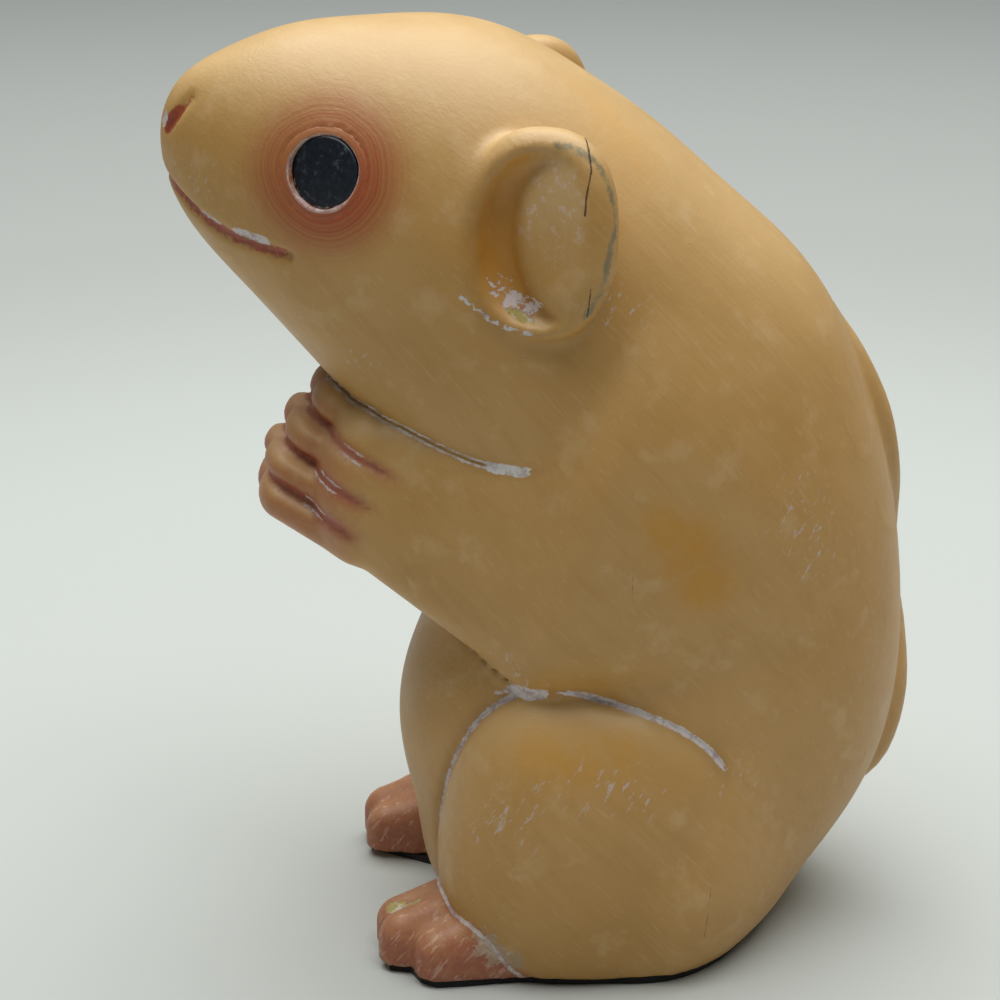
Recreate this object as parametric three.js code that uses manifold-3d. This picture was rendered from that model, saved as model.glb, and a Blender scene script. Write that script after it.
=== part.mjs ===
// A carved wooden mouse sitting up on its haunches, in millimetres.
// It faces -Y, +Z is up and +X is its own left side.
import * as THREE from "three";
import { ConvexGeometry } from "three/addons/geometries/ConvexGeometry.js";
import { edgeTable, triTable } from "three/addons/objects/MarchingCubes.js";
import { mergeVertices } from "three/addons/utils/BufferGeometryUtils.js";
import Module from "manifold-3d";

// Sizes that drive the part.
const FIGURE_HEIGHT = 200;
const PAD_THICKNESS = 1.5;
const PAD_INSET = 0.8;
const GAP = 0.3;
const EYE_DIAMETER = 14.6;
const EYE_THICKNESS = 1.4;
const EYE_SET_BACK = 0.9;

// The free shapes are drawn in shares: two hundredths of the figure's height.
const SHARE = FIGURE_HEIGHT / 200;
const SOLE = (PAD_THICKNESS + GAP) / SHARE;

// Trunk, nose to rump: middle (y, z), half width, half length, half depth, lean in degrees.
const TRUNK = [
  { y: -66.2, z: 173.8, half: [7.1, 10.1, 13.9], lean: 23.2 },
  { y: -49.9, z: 172.9, half: [18.0, 20.8, 22.7], lean: -8.8 },
  { y: -27.7, z: 164.2, half: [29.9, 31.6, 35.2], lean: -40.8 },
  { y: -6.2, z: 145.5, half: [35.6, 42.8, 40.0], lean: -31.3 },
  { y: 13.5, z: 118.0, half: [36.5, 43.7, 47.9], lean: -65.4 },
  { y: 24.1, z: 96.2, half: [35.3, 49.0, 44.6], lean: -51.8 },
  { y: 36.9, z: 63.7, half: [34.8, 54.1, 39.1], lean: -80.4 },
  { y: 11.7, z: 42.2, half: [37.6, 40.1, 46.0], lean: -118.0 },
  { y: 12.7, z: 14.4, half: [41.3, 23.7, 38.5], lean: -88.0 },
];
const TRUNK_BLEND = 7;
const RUMP = { x: 17, y: 17, z: 20, half: [28, 31, 27], lean: 0, blend: 9 };
const THIGH = { x: 22.7, y: 6.4, z: 29, half: [24.6, 33, 39.1], lean: -6.8, power: 2.5 };
const WRIST_HALF = [13.2, 17.8];
const PAW_PRESS = 1.8;
const ARM = {
  elbow: { at: [22.3, -2, 99], half: [20, 36.5] },
  wrist: { at: [WRIST_HALF[0] - PAW_PRESS, -40.4, 106.3], half: WRIST_HALF },
  section: 2.5,
  upperShare: 0.3,
  shoulderSink: 6,
  endFlatness: 0.62,
};
const FINGER = { x: 4.5, radius: 5.2, breadth: 1.5, reach: [6, 15.2, -8.2], rootRadius: 5.2, rootBreadth: 2.1 };
const FINGERTIPS = [
  [-45.9, 120.9],
  [-51.7, 114.7],
  [-56.2, 107.9],
  [-57.6, 101],
];
const TOES = [
  { tip: [21.5, -35, 6.4], tipRadius: 5.6, heel: [20, -16, 9.5], heelRadius: 9 },
  { tip: [29, -34.6, 6.8], tipRadius: 6, heel: [27.5, -16, 11], heelRadius: 10 },
  { tip: [36, -27.6, 6.4], tipRadius: 5.8, heel: [33.5, -12, 9.5], heelRadius: 9 },
];
const TOE_FLATNESS = 0.82;
const EAR = { at: [36, -6.8, 163.6], turn: 68, rise: 6, half: [7, 14.8, 20.3], power: 2.4 };
const EAR_HOLLOW = { at: [43, -9.5, 163.2], turn: 96, rise: 2, half: [11, 13.2, 17.8], power: 2.3 };
const FAR_EAR_SHIFT = [0, 5.5, 5.5];
const EYE = { y: -48.3, z: 174.2, turn: 61, rise: 10 };
const TAIL = [
  { at: [0, 66, 27.5], radius: 5.6 },
  { at: [0, 71.6, 35], radius: 6.6 },
  { at: [-0.5, 74.6, 48], radius: 6.5 },
  { at: [-4.5, 74.6, 62], radius: 6.1 },
  { at: [-8.5, 73.2, 74], radius: 5.8 },
  { at: [-7, 73, 86], radius: 5.5 },
  { at: [-2, 71.8, 99], radius: 5.2 },
  { at: [0.5, 68.6, 113], radius: 4.9 },
  { at: [0.5, 62.8, 126], radius: 4.4 },
  { at: [0, 57.5, 135], radius: 3.4 },
];

const wasm = await Module();
wasm.setup();

// Signed distances, near enough: negative inside, in shares.

// Distance to a rounded block whose half sizes are half and whose power sets how boxy it is.
function blob(x, y, z, half, power = 2) {
  const parts = [Math.abs(x) / half[0], Math.abs(y) / half[1], Math.abs(z) / half[2]];
  let sum = 1e-12;
  let slope = 1e-24;
  parts.forEach((part, i) => {
    sum += part ** power;
    slope += (part ** (power - 1) / half[i]) ** 2;
  });
  const size = sum ** (1 / power);
  return (size - 1) / (size ** (1 - power) * Math.sqrt(slope));
}

// The same block set at (y, z) of the profile and leaned about the X axis.
function leaned(x, y, z, piece, power = 2) {
  const angle = THREE.MathUtils.degToRad(piece.lean);
  const dy = y - piece.y;
  const dz = z - piece.z;
  const along = dy * Math.cos(angle) + dz * Math.sin(angle);
  const across = -dy * Math.sin(angle) + dz * Math.cos(angle);
  return blob(x - (piece.x ?? 0), along, across, piece.half, power);
}

// Distance to a cone with round ends, squeezed along X by flatness.
function cone(x, y, z, from, to, fromRadius, toRadius, flatness) {
  const start = new THREE.Vector3(from[0] / flatness, from[1], from[2]);
  const run = new THREE.Vector3(to[0] / flatness, to[1], to[2]).sub(start);
  const point = new THREE.Vector3(x / flatness, y, z).sub(start);
  const t = THREE.MathUtils.clamp(point.dot(run) / run.lengthSq(), 0, 1);
  const gap = point.addScaledVector(run, -t).length() - (fromRadius + t * (toRadius - fromRadius));
  return gap * Math.min(flatness, 1);
}

// Union of two distances with a soft fillet.
function soften(a, b, blend) {
  const h = Math.max(blend - Math.abs(a - b), 0) / blend;
  return Math.min(a, b) - h * h * blend * 0.25;
}

// A place along the arm, from the elbow at 0 to the wrist at 1, with its half breadth and height.
function armPlace(share) {
  const between = (from, to) => from.map((value, i) => THREE.MathUtils.lerp(value, to[i], share));
  return { at: between(ARM.elbow.at, ARM.wrist.at), half: between(ARM.elbow.half, ARM.wrist.half) };
}

// Distance to a slab-sided limb that tapers from one place to the other.
function limb(x, y, z, from, to, power) {
  const { clamp, lerp } = THREE.MathUtils;
  const run = new THREE.Vector2(to.at[1] - from.at[1], to.at[2] - from.at[2]);
  const point = new THREE.Vector2(y - from.at[1], z - from.at[2]);
  const t = clamp(point.dot(run) / run.lengthSq(), 0, 1);
  const breadth = lerp(from.half[0], to.half[0], t);
  const depth = lerp(from.half[1], to.half[1], t);
  const across = Math.abs(x - lerp(from.at[0], to.at[0], t)) / breadth;
  const height = point.addScaledVector(run, -t).length() / depth;
  const size = (across ** power + height ** power + 1e-12) ** (1 / power);
  const slope = Math.hypot(across ** (power - 1) / breadth, height ** (power - 1) / depth);
  return (size - 1) / Math.max(size ** (1 - power) * slope, 1e-3);
}

// Trunk, rump, thighs and upper arms: the masses that flow into each other.
function torso(x, y, z) {
  const side = Math.abs(x);
  let total = 1e-30;
  for (const mass of TRUNK) {
    total += Math.exp(Math.min(-leaned(side, y, z, mass) / TRUNK_BLEND, 60));
  }
  let body = -TRUNK_BLEND * Math.log(total);
  body = soften(body, leaned(side, y, z, RUMP), RUMP.blend);
  const thighBlend = 3 + 6 * THREE.MathUtils.smoothstep(y - 0.5 * (z - 40), 22, 40);
  body = soften(body, leaned(side, y, z, THIGH, THIGH.power), thighBlend);
  const armBlend = 3 + 15 * THREE.MathUtils.smoothstep(y - 0.3 * (z - 90), -16, 0);
  const sunk = ARM.shoulderSink * THREE.MathUtils.smoothstep(y - 0.3 * (z - 90), -4, 34);
  const arm = limb(side, y, z, ARM.elbow, armPlace(ARM.upperShare), ARM.section) + sunk;
  return soften(body, arm, armBlend);
}

function standing(x, y, z) {
  return Math.max(torso(x, y, z), SOLE - z);
}

// Toes stand on straight walls below the height of their middles.
function foot(x, y, z) {
  let nearest = Infinity;
  for (const toe of TOES) {
    const height = Math.max(z, toe.tip[2]);
    const { tip, heel, tipRadius, heelRadius } = toe;
    const gap = cone(Math.abs(x), y, height, tip, heel, tipRadius, heelRadius, TOE_FLATNESS);
    nearest = Math.min(nearest, gap);
  }
  return nearest;
}

// Planes of a grid: each run goes on from the last one to its own end, in steps of about its own size.
function lattice(start, ...runs) {
  const planes = [start];
  for (const [end, step] of runs) {
    const from = planes.at(-1);
    const count = Math.ceil((end - from) / step);
    for (let i = 1; i <= count; i += 1) {
      planes.push(from + ((end - from) * i) / count);
    }
  }
  return planes;
}

const CORNERS = [
  [0, 0, 0],
  [1, 0, 0],
  [1, 1, 0],
  [0, 1, 0],
  [0, 0, 1],
  [1, 0, 1],
  [1, 1, 1],
  [0, 1, 1],
];
const EDGES = [
  [0, 1],
  [1, 2],
  [2, 3],
  [3, 0],
  [4, 5],
  [5, 6],
  [6, 7],
  [7, 4],
  [0, 4],
  [1, 5],
  [2, 6],
  [3, 7],
];

// Moves a point onto the zero surface of a field, along the field's slope.
function settle(field, point) {
  const reach = 0.05;
  const furthest = 1.6;
  const start = point.clone();
  for (let round = 0; round < 3; round += 1) {
    const { x, y, z } = point;
    const value = field(x, y, z);
    const slope = new THREE.Vector3(
      field(x + reach, y, z) - field(x - reach, y, z),
      field(x, y + reach, z) - field(x, y - reach, z),
      field(x, y, z + reach) - field(x, y, z - reach),
    ).divideScalar(2 * reach);
    point.addScaledVector(slope, -value / Math.max(slope.lengthSq(), 0.2));
  }
  return start.add(point.sub(start).clampLength(0, furthest));
}

// Closed mesh of the zero surface of a field over a box of cells.
function skin(field, xs, ys, zs) {
  const place = (i, j, k) => i + xs.length * (j + ys.length * k);
  const values = new Float64Array(xs.length * ys.length * zs.length);
  zs.forEach((z, k) => ys.forEach((y, j) => xs.forEach((x, i) => {
    values[place(i, j, k)] = field(x, y, z) || 1e-6;
  })));
  const positions = [];
  const index = [];
  const made = new Map();
  const vertexOn = (i, j, k, edge) => {
    const ends = EDGES[edge].map((corner) => CORNERS[corner].map((d, axis) => d + [i, j, k][axis]));
    const keys = ends.map((end) => place(...end));
    const key = `${Math.min(...keys)}_${Math.max(...keys)}`;
    if (!made.has(key)) {
      const [a, b] = ends.map((end) => new THREE.Vector3(xs[end[0]], ys[end[1]], zs[end[2]]));
      const [va, vb] = keys.map((at) => values[at]);
      const t = THREE.MathUtils.clamp(va / (va - vb), 0.1, 0.9);
      const point = settle(field, a.lerp(b, t));
      made.set(key, positions.length / 3);
      positions.push(point.x * SHARE, point.y * SHARE, point.z * SHARE);
    }
    return made.get(key);
  };
  for (let k = 0; k < zs.length - 1; k += 1) {
    for (let j = 0; j < ys.length - 1; j += 1) {
      for (let i = 0; i < xs.length - 1; i += 1) {
        let code = 0;
        CORNERS.forEach(([di, dj, dk], bit) => {
          if (values[place(i + di, j + dj, k + dk)] < 0) {
            code |= 1 << bit;
          }
        });
        if (edgeTable[code] === 0) {
          continue;
        }
        for (let t = code * 16; triTable[t] !== -1; t += 3) {
          index.push(vertexOn(i, j, k, triTable[t]));
          index.push(vertexOn(i, j, k, triTable[t + 2]));
          index.push(vertexOn(i, j, k, triTable[t + 1]));
        }
      }
    }
  }
  const geometry = new THREE.BufferGeometry();
  geometry.setAttribute("position", new THREE.Float32BufferAttribute(positions, 3));
  geometry.setIndex(index);
  return geometry;
}

// A geometry as a closed solid that can be joined and cut.
function solid(geometry) {
  const loose = geometry.index ? geometry.toNonIndexed() : geometry;
  const bare = new THREE.BufferGeometry();
  bare.setAttribute("position", loose.getAttribute("position"));
  const merged = mergeVertices(bare, 1e-4);
  return new wasm.Manifold(
    new wasm.Mesh({
      numProp: 3,
      vertProperties: Float32Array.from(merged.attributes.position.array),
      triVerts: Uint32Array.from(merged.index.array),
    }),
  );
}

function geometryOf(shape) {
  const mesh = shape.getMesh();
  const geometry = new THREE.BufferGeometry();
  const positions = Float32Array.from(mesh.vertProperties);
  geometry.setAttribute("position", new THREE.BufferAttribute(positions, 3));
  geometry.setIndex(new THREE.BufferAttribute(Uint32Array.from(mesh.triVerts), 1));
  return geometry;
}

// Points of a ball, squeezed along X.
function ballPoints([x, y, z], radius, flatness, rings = 6, spokes = 9) {
  const points = [];
  for (let ring = 0; ring <= rings; ring += 1) {
    const lift = (Math.PI * ring) / rings;
    const around = ring === 0 || ring === rings ? 1 : spokes;
    for (let spoke = 0; spoke < around; spoke += 1) {
      const turn = (2 * Math.PI * (spoke + 0.5 * (ring % 2))) / around;
      const out = radius * Math.sin(lift);
      const dx = out * Math.cos(turn) * flatness;
      points.push(new THREE.Vector3(x + dx, y + out * Math.sin(turn), z + radius * Math.cos(lift)));
    }
  }
  return points.map((point) => point.multiplyScalar(SHARE));
}

function fingerSolid([y, z], side) {
  const [dx, dy, dz] = FINGER.reach;
  const tip = ballPoints([side * FINGER.x, y, z], FINGER.radius, FINGER.breadth);
  const rootAt = [side * (FINGER.x + dx), y + dy, z + dz];
  const root = ballPoints(rootAt, FINGER.rootRadius, FINGER.rootBreadth);
  return solid(new ConvexGeometry([...tip, ...root]));
}

// Points of a slab-sided end of the arm, in rings across X, flattened along the arm.
function endPoints({ at, half }, side, power, rings = 8, spokes = 14) {
  const points = [];
  const [, elbowY, elbowZ] = ARM.elbow.at;
  const [, wristY, wristZ] = ARM.wrist.at;
  const along = new THREE.Vector2(wristY - elbowY, wristZ - elbowZ).normalize();
  for (let ring = 0; ring <= rings; ring += 1) {
    const lift = (Math.PI * ring) / rings;
    const around = ring === 0 || ring === rings ? 1 : spokes;
    const dx = Math.sign(Math.cos(lift)) * Math.abs(Math.cos(lift)) ** (2 / power) * half[0];
    const out = Math.abs(Math.sin(lift)) ** (2 / power) * half[1];
    for (let spoke = 0; spoke < around; spoke += 1) {
      const turn = (2 * Math.PI * spoke) / around;
      const spread = around === 1 ? 0 : out;
      const ahead = spread * Math.cos(turn) * ARM.endFlatness;
      const over = spread * Math.sin(turn);
      const y = at[1] + ahead * along.x - over * along.y;
      const z = at[2] + ahead * along.y + over * along.x;
      points.push(new THREE.Vector3(side * (at[0] + dx), y, z));
    }
  }
  return points.map((point) => point.multiplyScalar(SHARE));
}

function forearmSolid(side) {
  const top = endPoints(armPlace(ARM.upperShare), side, ARM.section);
  const end = endPoints(ARM.wrist, side, ARM.section);
  return solid(new ConvexGeometry([...top, ...end]));
}

function toeSolid({ tip, tipRadius, heel, heelRadius }, side) {
  const front = ballPoints([side * tip[0], tip[1], tip[2]], tipRadius, TOE_FLATNESS);
  const back = ballPoints([side * heel[0], heel[1], heel[2]], heelRadius, TOE_FLATNESS);
  const floor = SOLE * SHARE;
  const points = [...front, ...back].flatMap((point) => {
    if (point.z > tip[2] * SHARE) {
      return [point];
    }
    return [new THREE.Vector3(point.x, point.y, floor)];
  });
  const waist = [[tip, tipRadius], [heel, heelRadius]].flatMap(([at, radius]) => {
    const ring = [];
    for (let spoke = 0; spoke < 12; spoke += 1) {
      const turn = (2 * Math.PI * spoke) / 12;
      const drop = Math.max(at[2] - tip[2], 0);
      const out = Math.sqrt(Math.max(radius * radius - drop * drop, 1));
      const x = (side * at[0] + out * Math.cos(turn) * TOE_FLATNESS) * SHARE;
      const y = (at[1] + out * Math.sin(turn)) * SHARE;
      ring.push(new THREE.Vector3(x, y, tip[2] * SHARE), new THREE.Vector3(x, y, floor));
    }
    return ring;
  });
  return solid(new ConvexGeometry([...points, ...waist]));
}

// A rounded block turned so that its short axis points out of the head.
function earBlob({ at, turn, rise, half, power }, side, shift) {
  const geometry = new THREE.SphereGeometry(1, 20, 12);
  const spots = geometry.getAttribute("position");
  const yaw = THREE.MathUtils.degToRad(turn);
  const pitch = THREE.MathUtils.degToRad(rise);
  const level = Math.cos(pitch);
  const out = new THREE.Vector3(Math.sin(yaw) * level, -Math.cos(yaw) * level, Math.sin(pitch));
  const along = new THREE.Vector3(Math.cos(yaw), Math.sin(yaw), 0);
  const up = new THREE.Vector3().crossVectors(out, along);
  for (let i = 0; i < spots.count; i += 1) {
    const ray = new THREE.Vector3().fromBufferAttribute(spots, i).normalize();
    let sum = 0;
    ray.toArray().forEach((value, axis) => {
      sum += (Math.abs(value) / half[axis]) ** power;
    });
    ray.multiplyScalar(sum ** (-1 / power));
    const point = new THREE.Vector3(...at);
    point.add(new THREE.Vector3(...shift));
    point.addScaledVector(out, ray.x).addScaledVector(along, ray.y).addScaledVector(up, ray.z);
    spots.setXYZ(i, side * point.x * SHARE, point.y * SHARE, point.z * SHARE);
  }
  if (side < 0) {
    geometry.setIndex(Array.from(geometry.index.array).reverse());
  }
  return solid(geometry);
}

// The tail: a round cord of changing thickness, closed at both ends.
function tailSolid(steps = 24, spokes = 8) {
  const path = new THREE.CatmullRomCurve3(TAIL.map(({ at }) => new THREE.Vector3(...at)));
  const frames = path.computeFrenetFrames(steps, false);
  const positions = [];
  const index = [];
  for (let step = 0; step <= steps; step += 1) {
    const middle = path.getPointAt(step / steps);
    const reach = path.getUtoTmapping(step / steps) * (TAIL.length - 1);
    const low = Math.min(Math.floor(reach), TAIL.length - 2);
    const taper = step === 0 || step === steps ? 0.45 : 1;
    const radius = taper * THREE.MathUtils.lerp(TAIL[low].radius, TAIL[low + 1].radius, reach - low);
    for (let spoke = 0; spoke < spokes; spoke += 1) {
      const turn = (2 * Math.PI * spoke) / spokes;
      const point = middle.clone();
      point.addScaledVector(frames.normals[step], radius * Math.cos(turn));
      point.addScaledVector(frames.binormals[step], radius * Math.sin(turn));
      positions.push(point.x * SHARE, point.y * SHARE, point.z * SHARE);
    }
  }
  for (let step = 0; step < steps; step += 1) {
    for (let spoke = 0; spoke < spokes; spoke += 1) {
      const here = step * spokes + spoke;
      const next = step * spokes + ((spoke + 1) % spokes);
      index.push(here, next, here + spokes);
      index.push(next, next + spokes, here + spokes);
    }
  }
  for (let spoke = 1; spoke < spokes - 1; spoke += 1) {
    const last = steps * spokes;
    index.push(0, spoke + 1, spoke);
    index.push(last, last + spoke, last + spoke + 1);
  }
  const geometry = new THREE.BufferGeometry();
  geometry.setAttribute("position", new THREE.Float32BufferAttribute(positions, 3));
  geometry.setIndex(index);
  return solid(geometry);
}

// Where the skin of the head lies at the eye, and which way the eye looks.
function eyeFrame(side) {
  let inner = 5;
  let outer = 60;
  for (let round = 0; round < 40; round += 1) {
    const middle = (inner + outer) / 2;
    if (torso(middle, EYE.y, EYE.z) < 0) {
      inner = middle;
    } else {
      outer = middle;
    }
  }
  const yaw = THREE.MathUtils.degToRad(EYE.turn);
  const pitch = THREE.MathUtils.degToRad(EYE.rise);
  const level = Math.cos(pitch);
  const look = new THREE.Vector3(side * Math.sin(yaw) * level, -Math.cos(yaw) * level, Math.sin(pitch));
  const at = new THREE.Vector3(side * inner, EYE.y, EYE.z).multiplyScalar(SHARE);
  return { at, look };
}

// A round plate across the eye's line of sight, between two depths below the skin.
function eyePlate(side, radius, top, bottom) {
  const { at, look } = eyeFrame(side);
  const plate = new THREE.CylinderGeometry(radius, radius, bottom - top, 30);
  const turn = new THREE.Quaternion().setFromUnitVectors(new THREE.Vector3(0, 1, 0), look);
  plate.applyQuaternion(turn);
  const middle = at.addScaledVector(look, -(top + bottom) / 2);
  return plate.translate(middle.x, middle.y, middle.z);
}

function eyeDisc(side) {
  return eyePlate(side, EYE_DIAMETER / 2, EYE_SET_BACK, EYE_SET_BACK + EYE_THICKNESS);
}

function eyeSocket(side) {
  return eyePlate(side, EYE_DIAMETER / 2 + GAP, -6, EYE_SET_BACK + EYE_THICKNESS + GAP);
}

function mouseSolid() {
  const xs = lattice(-51, [51, 6.5]);
  const ys = lattice(-88, [-60, 6.6], [-18, 5.8], [88, 7.2]);
  const zs = lattice(SOLE - 3, [SOLE + 0.03, 4], [SOLE + 3, 3], [50, 6.8], [70, 5.2], [102, 7.4], [208, 6.8]);
  const core = solid(skin(standing, xs, ys, zs));
  const joined = [core, tailSolid()];
  const cuts = [];
  for (const side of [1, -1]) {
    const shift = side > 0 ? [0, 0, 0] : FAR_EAR_SHIFT;
    joined.push(earBlob(EAR, side, shift));
    joined.push(forearmSolid(side));
    joined.push(...FINGERTIPS.map((tip) => fingerSolid(tip, side)));
    joined.push(...TOES.map((toe) => toeSolid(toe, side)));
    cuts.push(earBlob(EAR_HOLLOW, side, shift));
    cuts.push(solid(eyeSocket(side)));
  }
  const whole = wasm.Manifold.union(joined);
  return wasm.Manifold.difference([whole, ...cuts]);
}

// Outline of the underside, seen from the middle of the footprint and drawn in by the inset.
function padGeometry() {
  const inset = PAD_INSET / SHARE;
  const inside = (x, y) => Math.min(torso(x, y, SOLE), foot(x, y, SOLE)) < -inset;
  const outline = [];
  const spokes = 76;
  for (let spoke = 0; spoke < spokes; spoke += 1) {
    const turn = (2 * Math.PI * spoke) / spokes;
    let reach = 80;
    while (reach > 0 && !inside(reach * Math.cos(turn), 2 + reach * Math.sin(turn))) {
      reach -= 0.25;
    }
    const x = reach * Math.cos(turn);
    const y = 2 + reach * Math.sin(turn);
    outline.push(new THREE.Vector2(x * SHARE, y * SHARE));
  }
  const settings = { depth: PAD_THICKNESS, bevelEnabled: false };
  return new THREE.ExtrudeGeometry(new THREE.Shape(outline), settings);
}

const finish = (color, roughness) => new THREE.MeshStandardMaterial({ color, roughness });
const PAINTED_WOOD = finish(0xcaa468, 0.5);
const BLACK_PAD = finish(0x17171a, 0.95);
const EYE_PAINT = finish(0x141a26, 0.4);

const pieces = [
  ["mouse_body", geometryOf(mouseSolid()), PAINTED_WOOD],
  ["base_pad", padGeometry(), BLACK_PAD],
  ["eye_left", eyeDisc(1), EYE_PAINT],
  ["eye_right", eyeDisc(-1), EYE_PAINT],
];

// The origin is the middle of the figure's own bounding box, on the table.
const bounds = new THREE.Box3();
for (const [, geometry] of pieces) {
  geometry.computeBoundingBox();
  bounds.union(geometry.boundingBox);
}
const middle = bounds.getCenter(new THREE.Vector3());

const group = new THREE.Group();
for (const [name, geometry, material] of pieces) {
  geometry.translate(-middle.x, -middle.y, 0);
  geometry.computeVertexNormals();
  const mesh = new THREE.Mesh(geometry, material.clone());
  mesh.name = name;
  group.add(mesh);
}

export default group;
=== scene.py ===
"""Looks of a carved and painted wooden mouse that sits up on its haunches.

The shapes are distance fields in millimetres. The mouse faces -Y, +Z is up and +X is its left side.
"""
import logging
import math
from dataclasses import dataclass, field
from enum import Enum

import bpy
import numpy as np
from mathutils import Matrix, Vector


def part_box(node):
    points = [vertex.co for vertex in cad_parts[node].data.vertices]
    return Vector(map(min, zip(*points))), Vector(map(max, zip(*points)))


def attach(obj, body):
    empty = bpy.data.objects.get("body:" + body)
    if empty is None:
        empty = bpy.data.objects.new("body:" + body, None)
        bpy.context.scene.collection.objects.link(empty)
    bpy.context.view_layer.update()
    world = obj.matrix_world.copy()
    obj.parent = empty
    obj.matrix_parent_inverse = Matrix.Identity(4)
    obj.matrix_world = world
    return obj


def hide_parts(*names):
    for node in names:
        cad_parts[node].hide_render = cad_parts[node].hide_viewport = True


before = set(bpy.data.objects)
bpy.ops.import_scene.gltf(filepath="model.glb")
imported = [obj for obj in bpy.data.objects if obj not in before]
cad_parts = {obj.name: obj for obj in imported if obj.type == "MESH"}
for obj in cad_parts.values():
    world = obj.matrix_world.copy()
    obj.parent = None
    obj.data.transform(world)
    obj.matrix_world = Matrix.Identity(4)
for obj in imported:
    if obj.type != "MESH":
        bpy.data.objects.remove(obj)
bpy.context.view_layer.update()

logging.basicConfig(level=logging.INFO, format="%(message)s")
LOG = logging.getLogger("mouse")
MM = 0.001
# A line that has died away is taken to be this many millimetres further off.
GONE_MM = 4.0
Array = np.ndarray
Socket = bpy.types.NodeSocket
Spot = tuple[float, float, float]
Pair = tuple[float, float]


class Slot(Enum):
    """Material slots of the record."""

    WOOD = "painted_wood"
    EYE = "eye_paint"


class Side(Enum):
    """Sides of the mouse, as the sign of X."""

    LEFT = 1.0
    RIGHT = -1.0


# Distance fields


def ramp(value: Array, low: float, high: float) -> Array:
    """Smooth step from 0 at low to 1 at high.

    Args:
        value: Numbers to step.
        low: Where the step starts.
        high: Where it ends.

    Returns:
        Numbers from 0 to 1.
    """
    t = np.clip((value - low) / (high - low), 0.0, 1.0)
    return t * t * (3.0 - 2.0 * t)


def soften(a: Array, b: Array, blend: Array | float) -> Array:
    """Joins two distances with a soft fillet.

    Args:
        a: First distance.
        b: Second distance.
        blend: Reach of the fillet.

    Returns:
        Distance to the joined shape.
    """
    h = np.maximum(blend - np.abs(a - b), 0.0) / blend
    return np.minimum(a, b) - h * h * blend * 0.25


def carve(body: Array, tool: Array, blend: float) -> Array:
    """Cuts a tool's shape out of a body, with a softened edge.

    Args:
        body: Distance to the body.
        tool: Distance to the tool.
        blend: Reach of the softened edge.

    Returns:
        Distance to what is left.
    """
    return -soften(-body, tool, blend)


def seam(a: Array, b: Array, depth: Array) -> Array:
    """A narrow cut along the line where two shapes meet.

    Args:
        a: Distance to the first shape.
        b: Distance to the second shape.
        depth: How deep the cut goes, and far below zero where there is none.

    Returns:
        Distance to what is cut out.
    """
    return np.maximum(np.abs(a - b) * 0.5 - 0.3, -np.minimum(a, b) - depth)


def block(parts: tuple[Array, Array, Array], half: Spot, power: float) -> Array:
    """Distance to a rounded block.

    Args:
        parts: Places along the block's own three axes.
        half: Half sizes along them.
        power: 2 is an ellipsoid, and more is boxier.

    Returns:
        Distance, near enough.
    """
    size = np.full_like(parts[0], 1e-12)
    slope = np.full_like(parts[0], 1e-24)
    for part, reach in zip(parts, half):
        share = np.abs(part) / reach
        size += share**power
        slope += (share ** (power - 1.0) / reach) ** 2
    size = size ** (1.0 / power)
    return (size - 1.0) / (size ** (1.0 - power) * np.sqrt(slope))


def cone(p: Array, start: Spot, end: Spot, first: float, last: float, flatness: float = 1.0) -> Array:
    """Distance to a cone with round ends, squeezed along X.

    Args:
        p: Points, one row each.
        start: Middle of the first end.
        end: Middle of the last end.
        first: Radius of the first end.
        last: Radius of the last end.
        flatness: Width over height of its section.

    Returns:
        Distance, near enough.
    """
    squeeze = np.array([1.0 / flatness, 1.0, 1.0])
    origin = np.array(start) * squeeze
    run = np.array(end) * squeeze - origin
    away = p * squeeze - origin
    t = np.clip(away @ run / (run @ run), 0.0, 1.0)
    gap = np.linalg.norm(away - t[:, None] * run, axis=1) - (first + t * (last - first))
    return gap * min(flatness, 1.0)


def limb(p: Array, ends: tuple[Spot, Spot], halves: tuple[Pair, Pair], power: float, caps: Pair) -> Array:
    """Distance to a slab-sided limb that tapers from one end to the other.

    Args:
        p: Points, one row each.
        ends: Middles of the first and the last end.
        halves: Half breadth along X and half height of each end.
        power: 2 is a round section, and more is boxier.
        caps: How far each end reaches on, as shares of its half height.

    Returns:
        Distance, near enough.
    """
    start, end = ends
    first, last = halves
    run = np.array(end)[1:] - np.array(start)[1:]
    away = p[:, 1:] - np.array(start)[1:]
    share = away @ run / (run @ run)
    t = np.clip(share, 0.0, 1.0)
    over = (share - t) * np.linalg.norm(run) / np.where(share < 0.0, caps[0], caps[1])
    height = np.hypot(np.linalg.norm(away - share[:, None] * run, axis=1), over)
    across = np.abs(p[:, 0] - start[0] - t * (end[0] - start[0]))
    breadth = first[0] + t * (last[0] - first[0])
    depth = first[1] + t * (last[1] - first[1])
    size = ((across / breadth) ** power + (height / depth) ** power + 1e-12) ** (1.0 / power)
    slope = np.hypot((across / breadth) ** (power - 1.0) / breadth, (height / depth) ** (power - 1.0) / depth)
    return (size - 1.0) / np.maximum(size ** (1.0 - power) * slope, 1e-3)


def facing(turn: float, rise: float) -> tuple[Array, Array, Array]:
    """Axes of something that looks out of the left side.

    Args:
        turn: Degrees from straight ahead towards the left.
        rise: Degrees above level.

    Returns:
        Unit vectors outwards, along and up.
    """
    yaw, pitch = math.radians(turn), math.radians(rise)
    level = math.cos(pitch)
    out = np.array([math.sin(yaw) * level, -math.cos(yaw) * level, math.sin(pitch)])
    along = np.array([math.cos(yaw), math.sin(yaw), 0.0])
    return out, along, np.cross(out, along)


def folded(p: Array) -> Array:
    """Points with the right side folded onto the left one."""
    return np.column_stack([np.abs(p[:, 0]), p[:, 1], p[:, 2]])


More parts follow.
